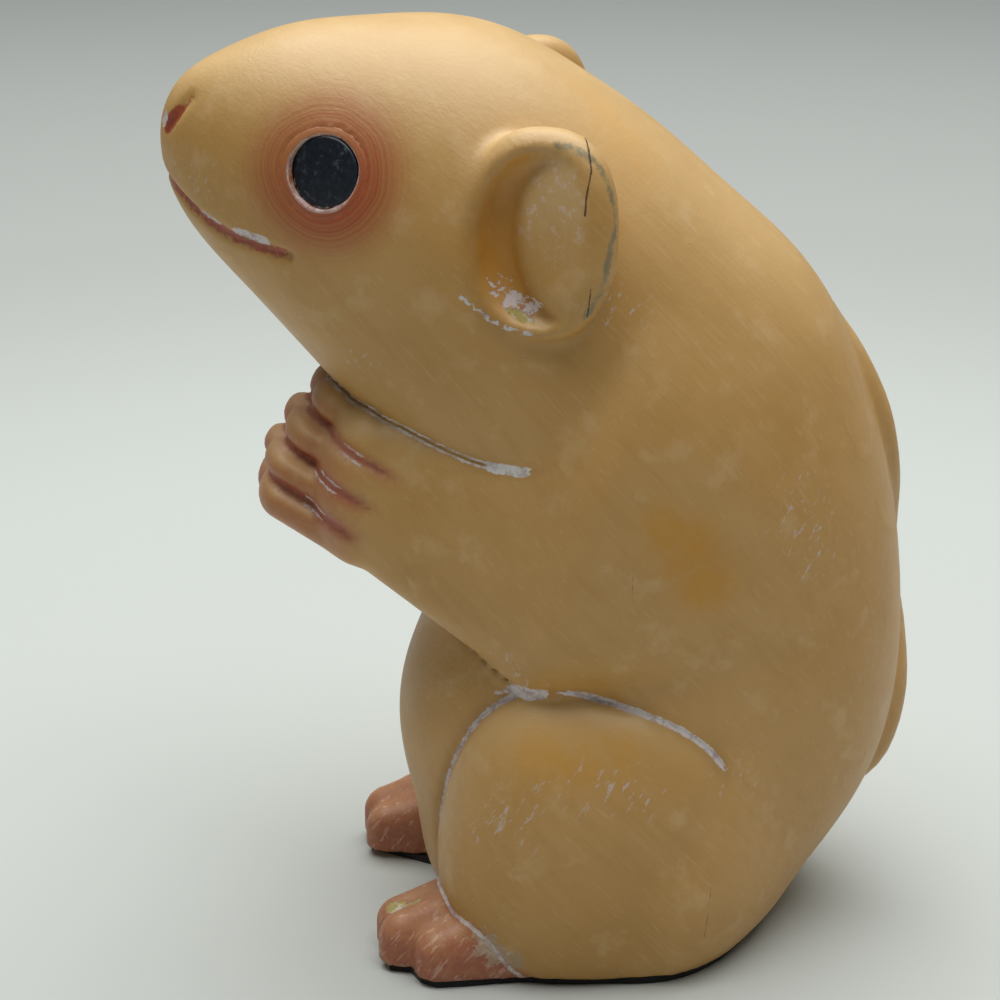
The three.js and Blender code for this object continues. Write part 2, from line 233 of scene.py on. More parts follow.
@dataclass(frozen=True)
class Trace:
    """A painted, worn or scratched line or spot on the skin.

    Attributes:
        points: Places that it runs through, in millimetres.
        radius: Half its width.
    """

    points: tuple[Spot, ...]
    radius: float

    def distance(self, p: Array, depth: float = 1.0) -> Array:
        """Distance to the line's edge, negative on it.

        Args:
            p: Points, one row each.
            depth: How much a distance along X counts.

        Returns:
            Millimetres.
        """
        count = np.array([depth, 1.0, 1.0])
        ends = self.points if len(self.points) > 1 else self.points * 2
        nearest = np.full(len(p), 1e3)
        for a, b in zip(ends[:-1], ends[1:]):
            run = (np.array(b) - np.array(a)) * count
            away = (p - np.array(a)) * count
            t = np.clip(away @ run / max(run @ run, 1e-9), 0.0, 1.0)
            nearest = np.minimum(nearest, np.linalg.norm(away - t[:, None] * run, axis=1))
        return nearest - self.radius


def nearest_of(traces: tuple[Trace, ...], p: Array, depth: float = 1.0) -> Array:
    """Distance to the nearest of several traces.

    Args:
        traces: What is measured to.
        p: Points, one row each.
        depth: How much a distance along X counts.

    Returns:
        Millimetres.
    """
    return np.min([trace.distance(p, depth) for trace in traces], axis=0)


# Sub-assemblies of the carving


@dataclass(frozen=True)
class Mass:
    """A rounded mass of the body, leaned in profile.

    Attributes:
        y: Middle along the body's depth.
        z: Middle above the table.
        half: Half width, length and depth.
        lean: Degrees that its length is leaned about X.
        x: Middle across, for a mass on each side.
        power: How boxy it is.
    """

    y: float
    z: float
    half: Spot
    lean: float = 0.0
    x: float = 0.0
    power: float = 2.0

    def distance(self, p: Array) -> Array:
        """Distance to the mass, for points folded onto the left side."""
        angle = math.radians(self.lean)
        dy, dz = p[:, 1] - self.y, p[:, 2] - self.z
        length = dy * math.cos(angle) + dz * math.sin(angle)
        depth = -dy * math.sin(angle) + dz * math.cos(angle)
        return block((p[:, 0] - self.x, length, depth), self.half, self.power)


@dataclass(frozen=True)
class Torso:
    """Head, back and belly as masses that flow into each other, with the thighs against them.

    Attributes:
        trunk: The masses from the nose down the back to the belly.
        trunk_blend: How softly they flow into each other.
        rump: The mass behind each thigh.
        rump_blend: Reach of its fillet.
        thigh: The thigh, a slab with round corners.
    """

    trunk: tuple[Mass, ...] = (
        Mass(-66.2, 173.8, (7.1, 10.1, 13.9), 23.2),
        Mass(-49.9, 172.9, (18.0, 20.8, 22.7), -8.8),
        Mass(-27.7, 164.2, (29.9, 31.6, 35.2), -40.8),
        Mass(-6.2, 145.5, (35.6, 42.8, 40.0), -31.3),
        Mass(13.5, 118.0, (36.5, 43.7, 47.9), -65.4),
        Mass(24.1, 96.2, (35.3, 49.0, 44.6), -51.8),
        Mass(36.9, 63.7, (34.8, 54.1, 39.1), -80.4),
        Mass(11.7, 42.2, (37.6, 40.1, 46.0), -118.0),
        Mass(12.7, 14.4, (41.3, 23.7, 38.5), -88.0),
    )
    trunk_blend: float = 7.0
    rump: Mass = Mass(17.0, 20.0, (28.0, 31.0, 27.0), x=17.0)
    rump_blend: float = 9.0
    thigh: Mass = Mass(6.4, 29.0, (24.6, 33.0, 39.1), -6.8, x=22.7, power=2.5)

    def core(self, p: Array) -> Array:
        """Distance to the trunk and rump."""
        total = np.full(len(p), 1e-30)
        for mass in self.trunk:
            total += np.exp(np.clip(-mass.distance(p) / self.trunk_blend, -60.0, 60.0))
        return soften(-self.trunk_blend * np.log(total), self.rump.distance(p), self.rump_blend)

    def thigh_blend(self, p: Array) -> Array:
        """Reach of the fillet round the thigh: a sharp crease in front and none behind."""
        return 1.6 + 7.0 * ramp(p[:, 1] - 0.5 * (p[:, 2] - 40.0), 22.0, 40.0)


@dataclass(frozen=True)
class Forepaw:
    """A foreleg laid up the chest, with four fingers carved on its paw.

    Attributes:
        ends: Middles of the elbow and the wrist.
        halves: Half breadth and half height at each.
        section: How boxy its section is.
        caps: How far the elbow and the palm reach on, as shares of their half heights.
        finger_x: Middle of each fingertip across.
        finger_radii: Half height at the tip and at the root.
        finger_breadth: Breadth over height of a finger.
        finger_run: From a fingertip to its root.
        fingertips: Depth and height of each fingertip's middle.
        shoulder_sink: How deep the leg's upper end is sunk into the back.
        groove_reach: How far back the cuts between the fingers run.
        groove_half: Half width of a cut at its front.
        groove_depth: Its depth in the paw.
    """

    ends: tuple[Spot, Spot] = ((22.3, -2.0, 99.0), (11.4, -40.4, 106.3))
    halves: tuple[Pair, Pair] = ((20.0, 36.5), (13.2, 17.8))
    section: float = 2.5
    caps: Pair = (1.3, 0.62)
    shoulder_sink: float = 6.0
    finger_x: float = 4.5
    finger_radii: Pair = (5.2, 5.2)
    finger_breadth: float = 1.75
    finger_run: Spot = (7.0, 15.2, -8.2)
    fingertips: tuple[Pair, ...] = ((-45.9, 120.9), (-51.7, 114.7), (-56.2, 107.9), (-57.6, 101.0))
    groove_reach: float = 19.0
    groove_half: float = 0.8
    groove_depth: float = 0.5

    def leg(self, p: Array) -> Array:
        """Distance to the leg without its fingers."""
        sunk = self.shoulder_sink * ramp(p[:, 1] - 0.3 * (p[:, 2] - 90.0), -4.0, 34.0)
        return limb(p, self.ends, self.halves, self.section, self.caps) + sunk

    def fingers(self, p: Array) -> Array:
        """Distance to the joined fingers, for points folded onto the left side."""
        joined = np.full(len(p), 1e3)
        first, last = self.finger_radii
        for y, z in self.fingertips:
            tip = (self.finger_x, y, z)
            root = (self.finger_x + self.finger_run[0], y + self.finger_run[1], z + self.finger_run[2])
            joined = soften(joined, cone(p, tip, root, first, last, self.finger_breadth), 2.6)
        return joined

    def course(self, p: Array) -> tuple[Array, Array]:
        """Where points lie along the nearest cut between two fingers.

        Args:
            p: Points folded onto the left side.

        Returns:
            How far back along it they lie, and how far to one side of it. The sign of the latter
            changes from each finger to the next, so that it is zero at the cuts only.
        """
        run = np.array(self.finger_run[1:])
        run = run / np.linalg.norm(run)
        backs, sides = [], []
        for a, b in zip(self.fingertips[:-1], self.fingertips[1:]):
            away = p[:, 1:] - (np.array(a) + np.array(b)) / 2
            backs.append(away @ run)
            sides.append(away[:, 0] * run[1] - away[:, 1] * run[0])
        pick = np.argmin(np.abs(sides), axis=0)[None]
        back = np.take_along_axis(np.array(backs), pick, 0)[0]
        across = np.min(np.abs(sides), axis=0)
        return back, across * np.where(np.sum(np.array(sides) > 0.0, axis=0) % 2 == 1, 1.0, -1.0)

    def grooves(self, p: Array) -> Array:
        """Distance to the cuts between the fingers, which narrow as they run back."""
        back, across = self.course(p)
        fade = ramp(back, 0.3 * self.groove_reach, self.groove_reach)
        end = 3.0 * ramp(back, self.groove_reach - 4.0, self.groove_reach)
        return np.abs(across) - self.groove_half * (1.0 - fade) + end

    def paw(self, p: Array) -> Array:
        """Distance to the leg and paw with the cuts made."""
        whole = soften(self.leg(p), self.fingers(p), 1.6)
        return carve(whole, np.maximum(self.grooves(p), -whole - self.groove_depth), 1.8)

    def blend(self, p: Array) -> Array:
        """Reach of the fillet at the body: a sharp crease in front and a seamless shoulder."""
        return 1.6 + 18.0 * ramp(p[:, 1] - 0.3 * (p[:, 2] - 90.0), -16.0, 0.0) * ramp(p[:, 2], 58.0, 78.0)


@dataclass(frozen=True)
class Hindfoot:
    """A foot of three toes that comes out from under the thigh.

    Attributes:
        tips: Middle of each toe's tip, from the inner toe to the outer one.
        tip_radii: Radius of each tip.
        heels: Middle of each toe's root.
        heel_radii: Radius of each root.
        flatness: Width over height of a toe.
    """

    tips: tuple[Spot, ...] = ((21.5, -35.0, 6.4), (29.0, -34.6, 6.8), (36.0, -27.6, 6.4))
    tip_radii: Spot = (5.6, 6.0, 5.8)
    heels: tuple[Spot, ...] = ((20.0, -16.0, 9.5), (27.5, -16.0, 11.0), (33.5, -12.0, 9.5))
    heel_radii: Spot = (9.0, 10.0, 9.0)
    flatness: float = 0.82

    def toes(self, p: Array) -> tuple[Array, Array]:
        """The toes and the grooves between them.

        Args:
            p: Points folded onto the left side.

        Returns:
            Distance to the joined toes, and distance to the second nearest toe.
        """
        each = []
        for tip, heel, first, last in zip(self.tips, self.heels, self.tip_radii, self.heel_radii):
            raised = np.column_stack([p[:, 0], p[:, 1], np.maximum(p[:, 2], tip[2])])
            each.append(cone(raised, tip, heel, first, last, self.flatness))
        joined = soften(soften(each[0], each[1], 2.2), each[2], 2.2)
        return joined, np.sort(np.array(each), axis=0)[1]


@dataclass(frozen=True)
class Ear:
    """A thick round ear: a bowl that is cut deep in front, with a floor that rises to the back rim.

    Attributes:
        side: Which ear it is.
        shift: How far the right ear sits from the mirror image of the left one.
        at: Middle of the lobe.
        turn: Degrees that the lobe looks away from straight ahead.
        rise: Degrees that it looks up.
        half: Half thickness, width and height of the lobe.
        power: How boxy it is.
        hollow_at: Middle of the bowl.
        hollow_turn: Degrees that the bowl looks away from straight ahead.
        hollow_rise: Degrees that it looks up.
        hollow_half: Its half depth, width and height.
        hollow_power: How boxy it is.
        floor_across: Middle of the raised floor, towards the back rim.
        floor_half: Its half width and height.
        floor_height: How high it stands at the lobe's middle.
        floor_slope: How fast it rises to the back rim.
    """

    side: Side
    shift: Spot = (0.0, 0.0, 0.0)
    at: Spot = (36.0, -6.8, 163.6)
    turn: float = 68.0
    rise: float = 6.0
    half: Spot = (7.0, 14.8, 20.3)
    power: float = 2.4
    hollow_at: Spot = (43.0, -9.5, 163.2)
    hollow_turn: float = 96.0
    hollow_rise: float = 2.0
    hollow_half: Spot = (11.0, 13.2, 17.8)
    hollow_power: float = 2.3
    floor_across: float = 6.0
    floor_half: Pair = (12.4, 16.6)
    floor_height: float = 2.9
    floor_slope: float = 0.24

    def placed(self, p: Array) -> Array:
        """Points as the left ear's own carver would see them."""
        return p * np.array([self.side.value, 1.0, 1.0]) - np.array(self.shift)

    def parts(self, p: Array) -> tuple[Array, Array, Array]:
        """Places along the ear's outward, sideways and upward axes."""
        out, along, up = facing(self.turn, self.rise)
        away = self.placed(p) - np.array(self.at)
        return away @ out, away @ along, away @ up

    def lobe(self, p: Array) -> Array:
        """Distance to the ear before it is hollowed."""
        return block(self.parts(p), self.half, self.power)

    def hollow(self, p: Array) -> Array:
        """Distance to what is cut out of it: a bowl less its raised floor."""
        out, along, up = facing(self.hollow_turn, self.hollow_rise)
        away = self.placed(p) - np.array(self.hollow_at)
        bowl = block((away @ out, away @ along, away @ up), self.hollow_half, self.hollow_power)
        depth, across, height = self.parts(p)
        reach = np.hypot((across - self.floor_across) / self.floor_half[0], height / self.floor_half[1])
        plate = (reach - 1.0) * self.floor_half[0]
        plane = depth - self.floor_height - self.floor_slope * across
        return carve(bowl, -soften(-plate, -plane, 5.0), 3.0)


@dataclass(frozen=True)
class Tail:
    """The tail, carved in relief up the middle of the back.

    Attributes:
        course: Places that it runs through, from its root to its tip.
        radii: Its radius at each.
        pieces: Straight pieces between two places.
    """

    course: tuple[Spot, ...] = (
        (0.0, 66.0, 27.5),
        (0.0, 71.6, 35.0),
        (-0.5, 74.6, 48.0),
        (-4.5, 74.6, 62.0),
        (-8.5, 73.2, 74.0),
        (-7.0, 73.0, 86.0),
        (-2.0, 71.8, 99.0),
        (0.5, 68.6, 113.0),
        (0.5, 62.8, 126.0),
        (0.0, 57.5, 135.0),
    )
    radii: tuple[float, ...] = (5.6, 6.6, 6.5, 6.1, 5.8, 5.5, 5.2, 4.9, 4.4, 3.4)
    pieces: int = 4

    def distance(self, p: Array) -> Array:
        """Distance to the tail along a smooth curve through its course."""
        nearest = np.full(len(p), 60.0)
        near = p[:, 1] > 40.0
        knots = np.column_stack([np.array(self.course), np.array(self.radii)])
        knots = np.vstack([2 * knots[0] - knots[1], knots, 2 * knots[-1] - knots[-2]])
        path = []
        for a, b, c, d in zip(knots[:-3], knots[1:-2], knots[2:-1], knots[3:]):
            for step in range(self.pieces):
                t = step / self.pieces
                bend = (2 * a - 5 * b + 4 * c - d) * t * t + (3 * b - a - 3 * c + d) * t**3
                path.append(0.5 * (2 * b + (c - a) * t + bend))
        path.append(knots[-2])
        close = p[near]
        best = nearest[near]
        for a, b in zip(path[:-1], path[1:]):
            best = np.minimum(best, cone(close, tuple(a[:3]), tuple(b[:3]), a[3], b[3]))
        nearest[near] = best
        return nearest


@dataclass(frozen=True)
class EyeSeat:
    """Where a flat eye disc is set in the head.

    Attributes:
        side: Which eye it is.
        y: Its middle along the head.
        z: Its middle above the table.
        turn: Degrees that it looks away from straight ahead.
        rise: Degrees that it looks up.
        set_back: How far the disc lies below the skin.
        thickness: Thickness of the CAD disc.
        cut_radius: Radius of the recess.
        cut_depth: Depth of the recess.
    """

    side: Side
    y: float = -48.3
    z: float = 174.2
    turn: float = 61.0
    rise: float = 10.0
    set_back: float = 0.9
    thickness: float = 1.4
    cut_radius: float = 7.95
    cut_depth: float = 2.6

    def axes(self) -> tuple[Array, Array, Array]:
        """Axes of the disc: outwards, along and up, on its own side."""
        flip = np.array([self.side.value, 1.0, 1.0])
        out, along, up = facing(self.turn, self.rise)
        return out * flip, along * flip, up * flip

    def middle(self, torso: Torso) -> Array:
        """The point of the skin that the disc lies under."""
        low, high = 5.0, 60.0
        for _ in range(40):
            x = (low + high) / 2
            if torso.core(np.array([[x, self.y, self.z]]))[0] < 0.0:
                low = x
            else:
                high = x
        return np.array([low * self.side.value, self.y, self.z])

    def parts(self, p: Array, torso: Torso) -> tuple[Array, Array, Array]:
        """Height above the disc's middle, distance from its axis and turn round it."""
        out, along, up = self.axes()
        away = p - self.middle(torso)
        across, above = away @ along, away @ up
        return away @ out, np.hypot(across, above), np.arctan2(above, across)

    def socket(self, p: Array, torso: Torso) -> Array:
        """Distance to the round recess that is cut for the disc."""
        height, reach, _ = self.parts(p, torso)
        return np.maximum(reach - self.cut_radius, -height - self.cut_depth)


class Carving:
    """The whole carving as one distance field.

    Attributes:
        sole: Height of its flat underside, which lies on the pad.
        lips: Places along the left half of the mouth.
        nostril: Places along the left nostril.
    """

    def __init__(self) -> None:
        """Sets out the sub-assemblies."""
        self.torso = Torso()
        self.paw = Forepaw()
        self.foot = Hindfoot()
        self.tail = Tail()
        self.ears = (Ear(Side.LEFT), Ear(Side.RIGHT, (0.0, 5.5, 5.5)))
        self.eyes = (EyeSeat(Side.LEFT), EyeSeat(Side.RIGHT))
        self.sole = 1.8
        self.lips = (
            (0.0, -79.4, 169.8),
            (4.7, -77.4, 167.2),
            (10.2, -72.1, 162.3),
            (14.8, -66.3, 159.2),
            (19.7, -60.0, 158.0),
            (22.6, -54.9, 157.0),
        )
        self.nostril = ((7.7, -73.3, 185.7), (6.8, -75.6, 182.4), (5.0, -77.9, 179.6))

    def shapes(self, p: Array) -> dict[str, Array]:
        """Distances to the main forms.

        Args:
            p: Points, one row each.

        Returns:
            A distance for each form by name.
        """
        side = folded(p)
        toes, toe_groove = self.foot.toes(side)
        return {
            "core": soften(self.torso.core(side), self.tail.distance(p), 1.0),
            "thigh": self.torso.thigh.distance(side),
            "paw": self.paw.paw(side),
            "toes": toes,
            "toe_groove": toe_groove,
        }

    def field(self, p: Array) -> Array:
        """Distance to the finished carving."""
        side = folded(p)
        forms = self.shapes(p)
        body = soften(forms["core"], forms["thigh"], self.torso.thigh_blend(side))
        front = ramp(-p[:, 1], -34.0, -10.0)
        body = carve(body, seam(forms["core"], forms["thigh"], 9.0 * front - 8.0), 1.2)
        body = soften(body, forms["paw"], self.paw.blend(side))
        front = ramp(-p[:, 1], 2.0, 14.0)
        body = carve(body, seam(forms["core"], forms["paw"], 8.4 * front - 8.0), 1.0)
        body = soften(body, forms["toes"], 1.2)
        for ear in self.ears:
            body = soften(body, ear.lobe(p), 3.0)
            body = carve(body, ear.hollow(p), 1.8)
        body = carve(body, Trace(self.lips, 0.7).distance(side), 1.8)
        body = carve(body, Trace(self.nostril, 0.5).distance(side), 1.6)
        for eye in self.eyes:
            body = carve(body, eye.socket(p, self.torso), 0.4)
        return np.maximum(body, self.sole - p[:, 2])


@dataclass
class Skin:
    """A closed mesh of the zero surface of the carving's field.

    Attributes:
        step: Size of the cells, in millimetres.
        low: Lowest corner of the box of cells.
        high: Highest corner.
        reach: How far apart the field is read for its slope.
        least_slope: Least squared slope that a point is moved by.
        most_move: How far a point may move, as a share of a cell.
        points: The points, in millimetres.
        faces: The faces, as rows of point numbers.
    """

    step: float
    low: Spot = (-50.0, -84.0, -1.0)
    high: Spot = (50.0, 85.0, 203.0)
    reach: float = 0.06
    least_slope: float = 0.35
    most_move: float = 0.9
    points: Array = field(default_factory=lambda: np.zeros((0, 3)))
    faces: Array = field(default_factory=lambda: np.zeros((0, 4), int))

    def sample(self, carving: Carving) -> Array:
        """Field values on the grid, exact near the surface only.

        Args:
            carving: What is sampled.

        Returns:
            One value for each grid point.
        """
        count = [int(math.ceil((h - l) / self.step)) + 1 for l, h in zip(self.low, self.high)]
        axes = [l + self.step * np.arange(n) for l, n in zip(self.low, count)]
        jump = 4
        rough = [axis[::jump] for axis in axes]
        mesh = np.stack(np.meshgrid(*rough, indexing="ij"), -1).reshape(-1, 3)
        coarse = carving.field(mesh).reshape([len(axis) for axis in rough])
        picks = [np.minimum((np.arange(n) + jump // 2) // jump, len(r) - 1) for n, r in zip(count, rough)]
        values = coarse[np.ix_(*picks)].astype(float)
        near = np.argwhere(np.abs(values) < 1.5 * jump * self.step)
        spots = np.array(self.low) + self.step * near
        values[tuple(near.T)] = carving.field(spots)
        return np.where(values == 0.0, 1e-6, values)

    def net(self, values: Array) -> None:
        """Makes one point in each cell that the surface crosses, and a face round each crossed edge.

        Args:
            values: Field values on the grid.
        """
        inside = values < 0.0
        cells = tuple(n - 1 for n in values.shape)
        total = np.zeros(cells + (3,))
        hits = np.zeros(cells)
        crossings = []
        for axis in range(3):
            near = [slice(None)] * 3
            far = [slice(None)] * 3
            near[axis], far[axis] = slice(0, -1), slice(1, None)
            a, b = values[tuple(near)], values[tuple(far)]
            crossed = inside[tuple(near)] != inside[tuple(far)]
            share = np.where(crossed, a / np.where(crossed, a - b, 1.0), 0.0)
            crossings.append((crossed, inside[tuple(near)]))
            others = [other for other in range(3) if other != axis]
            for da in (0, 1):
                for db in (0, 1):
                    cut = [slice(None)] * 3
                    cut[others[0]] = slice(da, values.shape[others[0]] - 1 + da)
                    cut[others[1]] = slice(db, values.shape[others[1]] - 1 + db)
                    hit = crossed[tuple(cut)]
                    hits += hit
                    total[..., axis] += np.where(hit, share[tuple(cut)], 0.0)
                    total[..., others[0]] += np.where(hit, float(da), 0.0)
                    total[..., others[1]] += np.where(hit, float(db), 0.0)
        active = hits > 0
        number = np.full(cells, -1)
        number[active] = np.arange(int(active.sum()))
        where = np.argwhere(active)
        middle = total[active] / hits[active][:, None]
        self.points = np.array(self.low) + self.step * (where + middle)
        faces = []
        for axis, (crossed, first_inside) in enumerate(crossings):
            others = [(axis + 1) % 3, (axis + 2) % 3]
            inner = [slice(None)] * 3
            for other in others:
                inner[other] = slice(1, -1)
            spots = np.argwhere(crossed[tuple(inner)])
            spots[:, others[0]] += 1
            spots[:, others[1]] += 1
            corners = []
            for da, db in ((1, 1), (0, 1), (0, 0), (1, 0)):
                corner = spots.copy()
                corner[:, others[0]] -= da
                corner[:, others[1]] -= db
                corners.append(number[tuple(corner.T)])
            ring = np.column_stack(corners)
            outward = first_inside[tuple(spots.T)]
            faces.append(np.where(outward[:, None], ring, ring[:, ::-1]))
        self.faces = np.vstack(faces)

    def settle(self, carving: Carving, rounds: int = 2) -> None:
        """Moves the points onto the zero surface along the field's slope.

        Args:
            carving: What they settle on.
            rounds: How many times they move.
        """
        start = self.points.copy()
        for _ in range(rounds):
            value = carving.field(self.points)
            slope = np.zeros_like(self.points)
            for axis in range(3):
                step = np.zeros(3)
                step[axis] = self.reach
                ahead, behind = carving.field(self.points + step), carving.field(self.points - step)
                slope[:, axis] = (ahead - behind) / (2.0 * self.reach)
            square = np.maximum((slope**2).sum(1), self.least_slope)
            self.points = self.points - slope * (value / square)[:, None]
            move = self.points - start
            length = np.maximum(np.linalg.norm(move, axis=1), 1e-9)
            most = self.most_move * self.step / length
            self.points = start + move * np.minimum(1.0, most)[:, None]

    def add_rim(self, eye: EyeSeat, torso: Torso, spokes: int = 96) -> None:
        """Adds the thin lip of ground that stands round an eye disc.

        Args:
            eye: The eye that it goes round.
            torso: What it lies on.
            spokes: Points round it.
        """
        out, along, up = eye.axes()
        middle = eye.middle(torso)
        profile = [(7.02, -1.5), (7.06, -0.25), (7.25, 0.0), (7.6, 0.08)]
        profile += [(8.2, 0.06), (8.9, -0.02), (9.3, -0.3)]
        turn = 2.0 * np.pi * np.arange(spokes) / spokes
        rings = []
        for radius, lift in profile:
            wide = radius + 0.06 * np.sin(3 * turn + 0.7) + 0.04 * np.sin(7 * turn)
            base = middle + wide[:, None] * (np.cos(turn)[:, None] * along + np.sin(turn)[:, None] * up)
            low, high = np.full(spokes, -6.0), np.full(spokes, 6.0)
            for _ in range(30):
                height = (low + high) / 2
                inner = torso.core(folded(base + height[:, None] * out)) < 0.0
                low, high = np.where(inner, height, low), np.where(inner, high, height)
            rings.append(base + (low + lift)[:, None] * out)
        first = len(self.points)
        around = np.arange(spokes)
        nearby = (around + 1) % spokes
        quads = []
        for ring in range(len(profile) - 1):
            a, b = first + ring * spokes, first + (ring + 1) * spokes
            quad = np.column_stack([a + around, b + around, b + nearby, a + nearby])
            quads.append(quad if eye.side is Side.LEFT else quad[:, ::-1])
        self.points = np.vstack([self.points, *rings])
        self.faces = np.vstack([self.faces, *quads])


@dataclass(frozen=True)
class Weathering:
    """Where the paint is rubbed, chipped, stained and cracked, and where shade and highlight are painted on,
    read off the carving's own forms.

    Each place is on the left side, which the light and the hands reached, unless it says otherwise.
    """

    mouth_chips: tuple[Trace, ...] = (
        Trace(((9.7, -72.5, 163.4), (12.9, -68.9, 161.5)), 0.9),
        Trace(((16.2, -65.0, 160.3), (20.3, -59.7, 159.2)), 1.3),
        Trace(((19.9, -59.8, 156.9),), 0.5),
    )
    nose_chip: Trace = Trace(((3.0, -78.7, 179.6), (3.5, -78.5, 181.4)), 1.0)
    ear_line: tuple[Trace, ...] = (
        Trace(((36.1, -22.5, 151.5), (37.8, -17.1, 147.2), (39.2, -12.4, 145.1), (40.4, -8.7, 144.9)), 0.5),
        Trace(((38.1, -12.9, 143.1), (38.0, -10.9, 140.0)), 0.25),
        Trace(((38.0, -10.9, 140.0), (38.4, -7.4, 140.6)), 0.25),
    )
    hip_patch: Trace = Trace(((33.3, -15.5, 62.6), (33.8, -11.0, 65.2), (34.4, -6.5, 66.0)), 1.7)
    foot_line: Trace = Trace(((34.5, -26.1, 21.0), (39.8, -21.3, 17.0), (42.9, -14.6, 11.0)), 0.3)
    toe_line: Trace = Trace(((35.4, -24.6, 15.1), (33.9, -33.8, 6.0)), 0.35)
    flakes: Trace = Trace(((36.3, -14.6, 153.5), (36.6, -12.8, 150.8), (37.2, -9.8, 148.6)), 1.8)
    bare_ends: tuple[Trace, ...] = (Trace(((36.4, -12.8, 147.6), (37.6, -9.6, 146.6)), 1.3),)
    toe_chip: Trace = Trace(((24.6, -37.4, 12.2), (25.8, -33.0, 15.2)), 2.5)
    green_rim: Trace = Trace(
        (
            (39.2, -4.6, 181.4),
            (40.9, 1.0, 180.0),
            (41.7, 4.7, 175.0),
            (42.1, 6.4, 167.0),
            (44.0, 5.1, 161.1),
            (44.4, 4.0, 156.4),
            (43.8, 0.9, 149.2),
        ),
        0.75,
    )
    foot_patch: Trace = Trace(((40.9, -18.3, 10.4), (41.9, -14.0, 7.0)), 2.8)
    cracks: tuple[Trace, ...] = (
        Trace(((41.5, 1.2, 182.6), (40.0, 1.6, 177.0), (37.6, 0.6, 172.6), (36.6, 0.2, 168.0)), 0.14),
        Trace(((38.9, 1.4, 155.5), (43.6, 0.9, 148.6)), 0.06),
        Trace(((45.1, 28.7, 27.1), (45.4, 27.4, 11.7)), -0.02),
        Trace(((41.2, 10.6, 97.5), (41.4, 10.7, 88.9)), -0.05),
    )
    pinholes: tuple[Trace, ...] = tuple(
        Trace((at,), 0.05)
        for at in (
            (40.4, 14.7, 117.7),
            (40.6, 12.5, 110.0),
            (40.5, 9.5, 108.0),
            (27.1, 23.6, 158.2),
            (36.4, 11.0, 160.0),
            (35.7, -21.2, 139.0),
            (34.0, -30.0, 11.5),
            (30.0, -33.0, 14.5),
        )
    )
    scuffs: tuple[Trace, ...] = (
        Trace(((34.0, 44.0, 106.0), (36.2, 49.0, 97.0)), 7.0),
        Trace(((42.5, -22.0, 40.0), (44.0, -12.0, 41.0)), 5.5),
        Trace(((45.4, -4.0, 50.0), (45.4, 14.0, 47.0)), 4.5),
        Trace(((40.7, -0.4, 95.0),), 1.6),
        Trace(((40.9, 16.8, 93.9),), 1.8),
        Trace(((31.0, -16.0, 73.0), (34.0, -8.0, 67.5)), 4.0),
        Trace(((14.0, -70.0, 170.5), (9.0, -74.0, 172.5)), 2.6),
        Trace(((22.0, -40.0, 136.0), (14.0, -52.0, 148.0)), 3.0),
        Trace(((42.6, 4.5, 151.9), (36.6, 9.8, 147.6)), 4.0),
        Trace(((38.0, 33.0, 46.0),), 5.0),
    )
    stains: tuple[Trace, ...] = (
        Trace(((15.2, 5.0, 183.5), (20.0, 13.0, 176.0)), 5.0),
        Trace(((40.6, 17.0, 104.0), (40.8, 21.0, 100.5)), 5.5),
        Trace(((40.1, 25.2, 92.1),), 5.0),
        Trace(((44.0, -8.0, 60.0), (45.0, 6.0, 59.0)), 7.0),
        Trace(((34.0, -16.0, 165.0), (34.5, -13.0, 152.0)), 4.0),
    )

    def crease(self, carving: Carving, p: Array, name: str) -> tuple[Array, Array]:
        """Where the skin lies along the line at which a form meets what is behind it.

        Args:
            carving: The carving under the paint.
            p: Points of the skin.
            name: The form.

        Returns:
            Signed millimetres along the skin from the line, and how far the skin is off both
            forms, from 0 to 1.
        """
        step = 0.2

        def pair(q: Array) -> tuple[Array, Array]:
            """Distances to the form and to what is behind it."""
            forms = carving.shapes(q)
            behind = forms["core"]
            if name != "thigh":
                behind = soften(behind, forms["thigh"], 1.6)
            return forms[name], behind

        def split(q: Array) -> Array:
            """Distance to the form less the distance to what is behind it."""
            front, behind = pair(q)
            return front - behind

        here = split(p)
        slope = [(split(p + step * axis) - here) / step for axis in np.eye(3)]
        off = ramp(np.max(np.abs(pair(p)), axis=0), 2.5, 5.0)
        return here / np.maximum(np.linalg.norm(slope, axis=0), 0.15), off

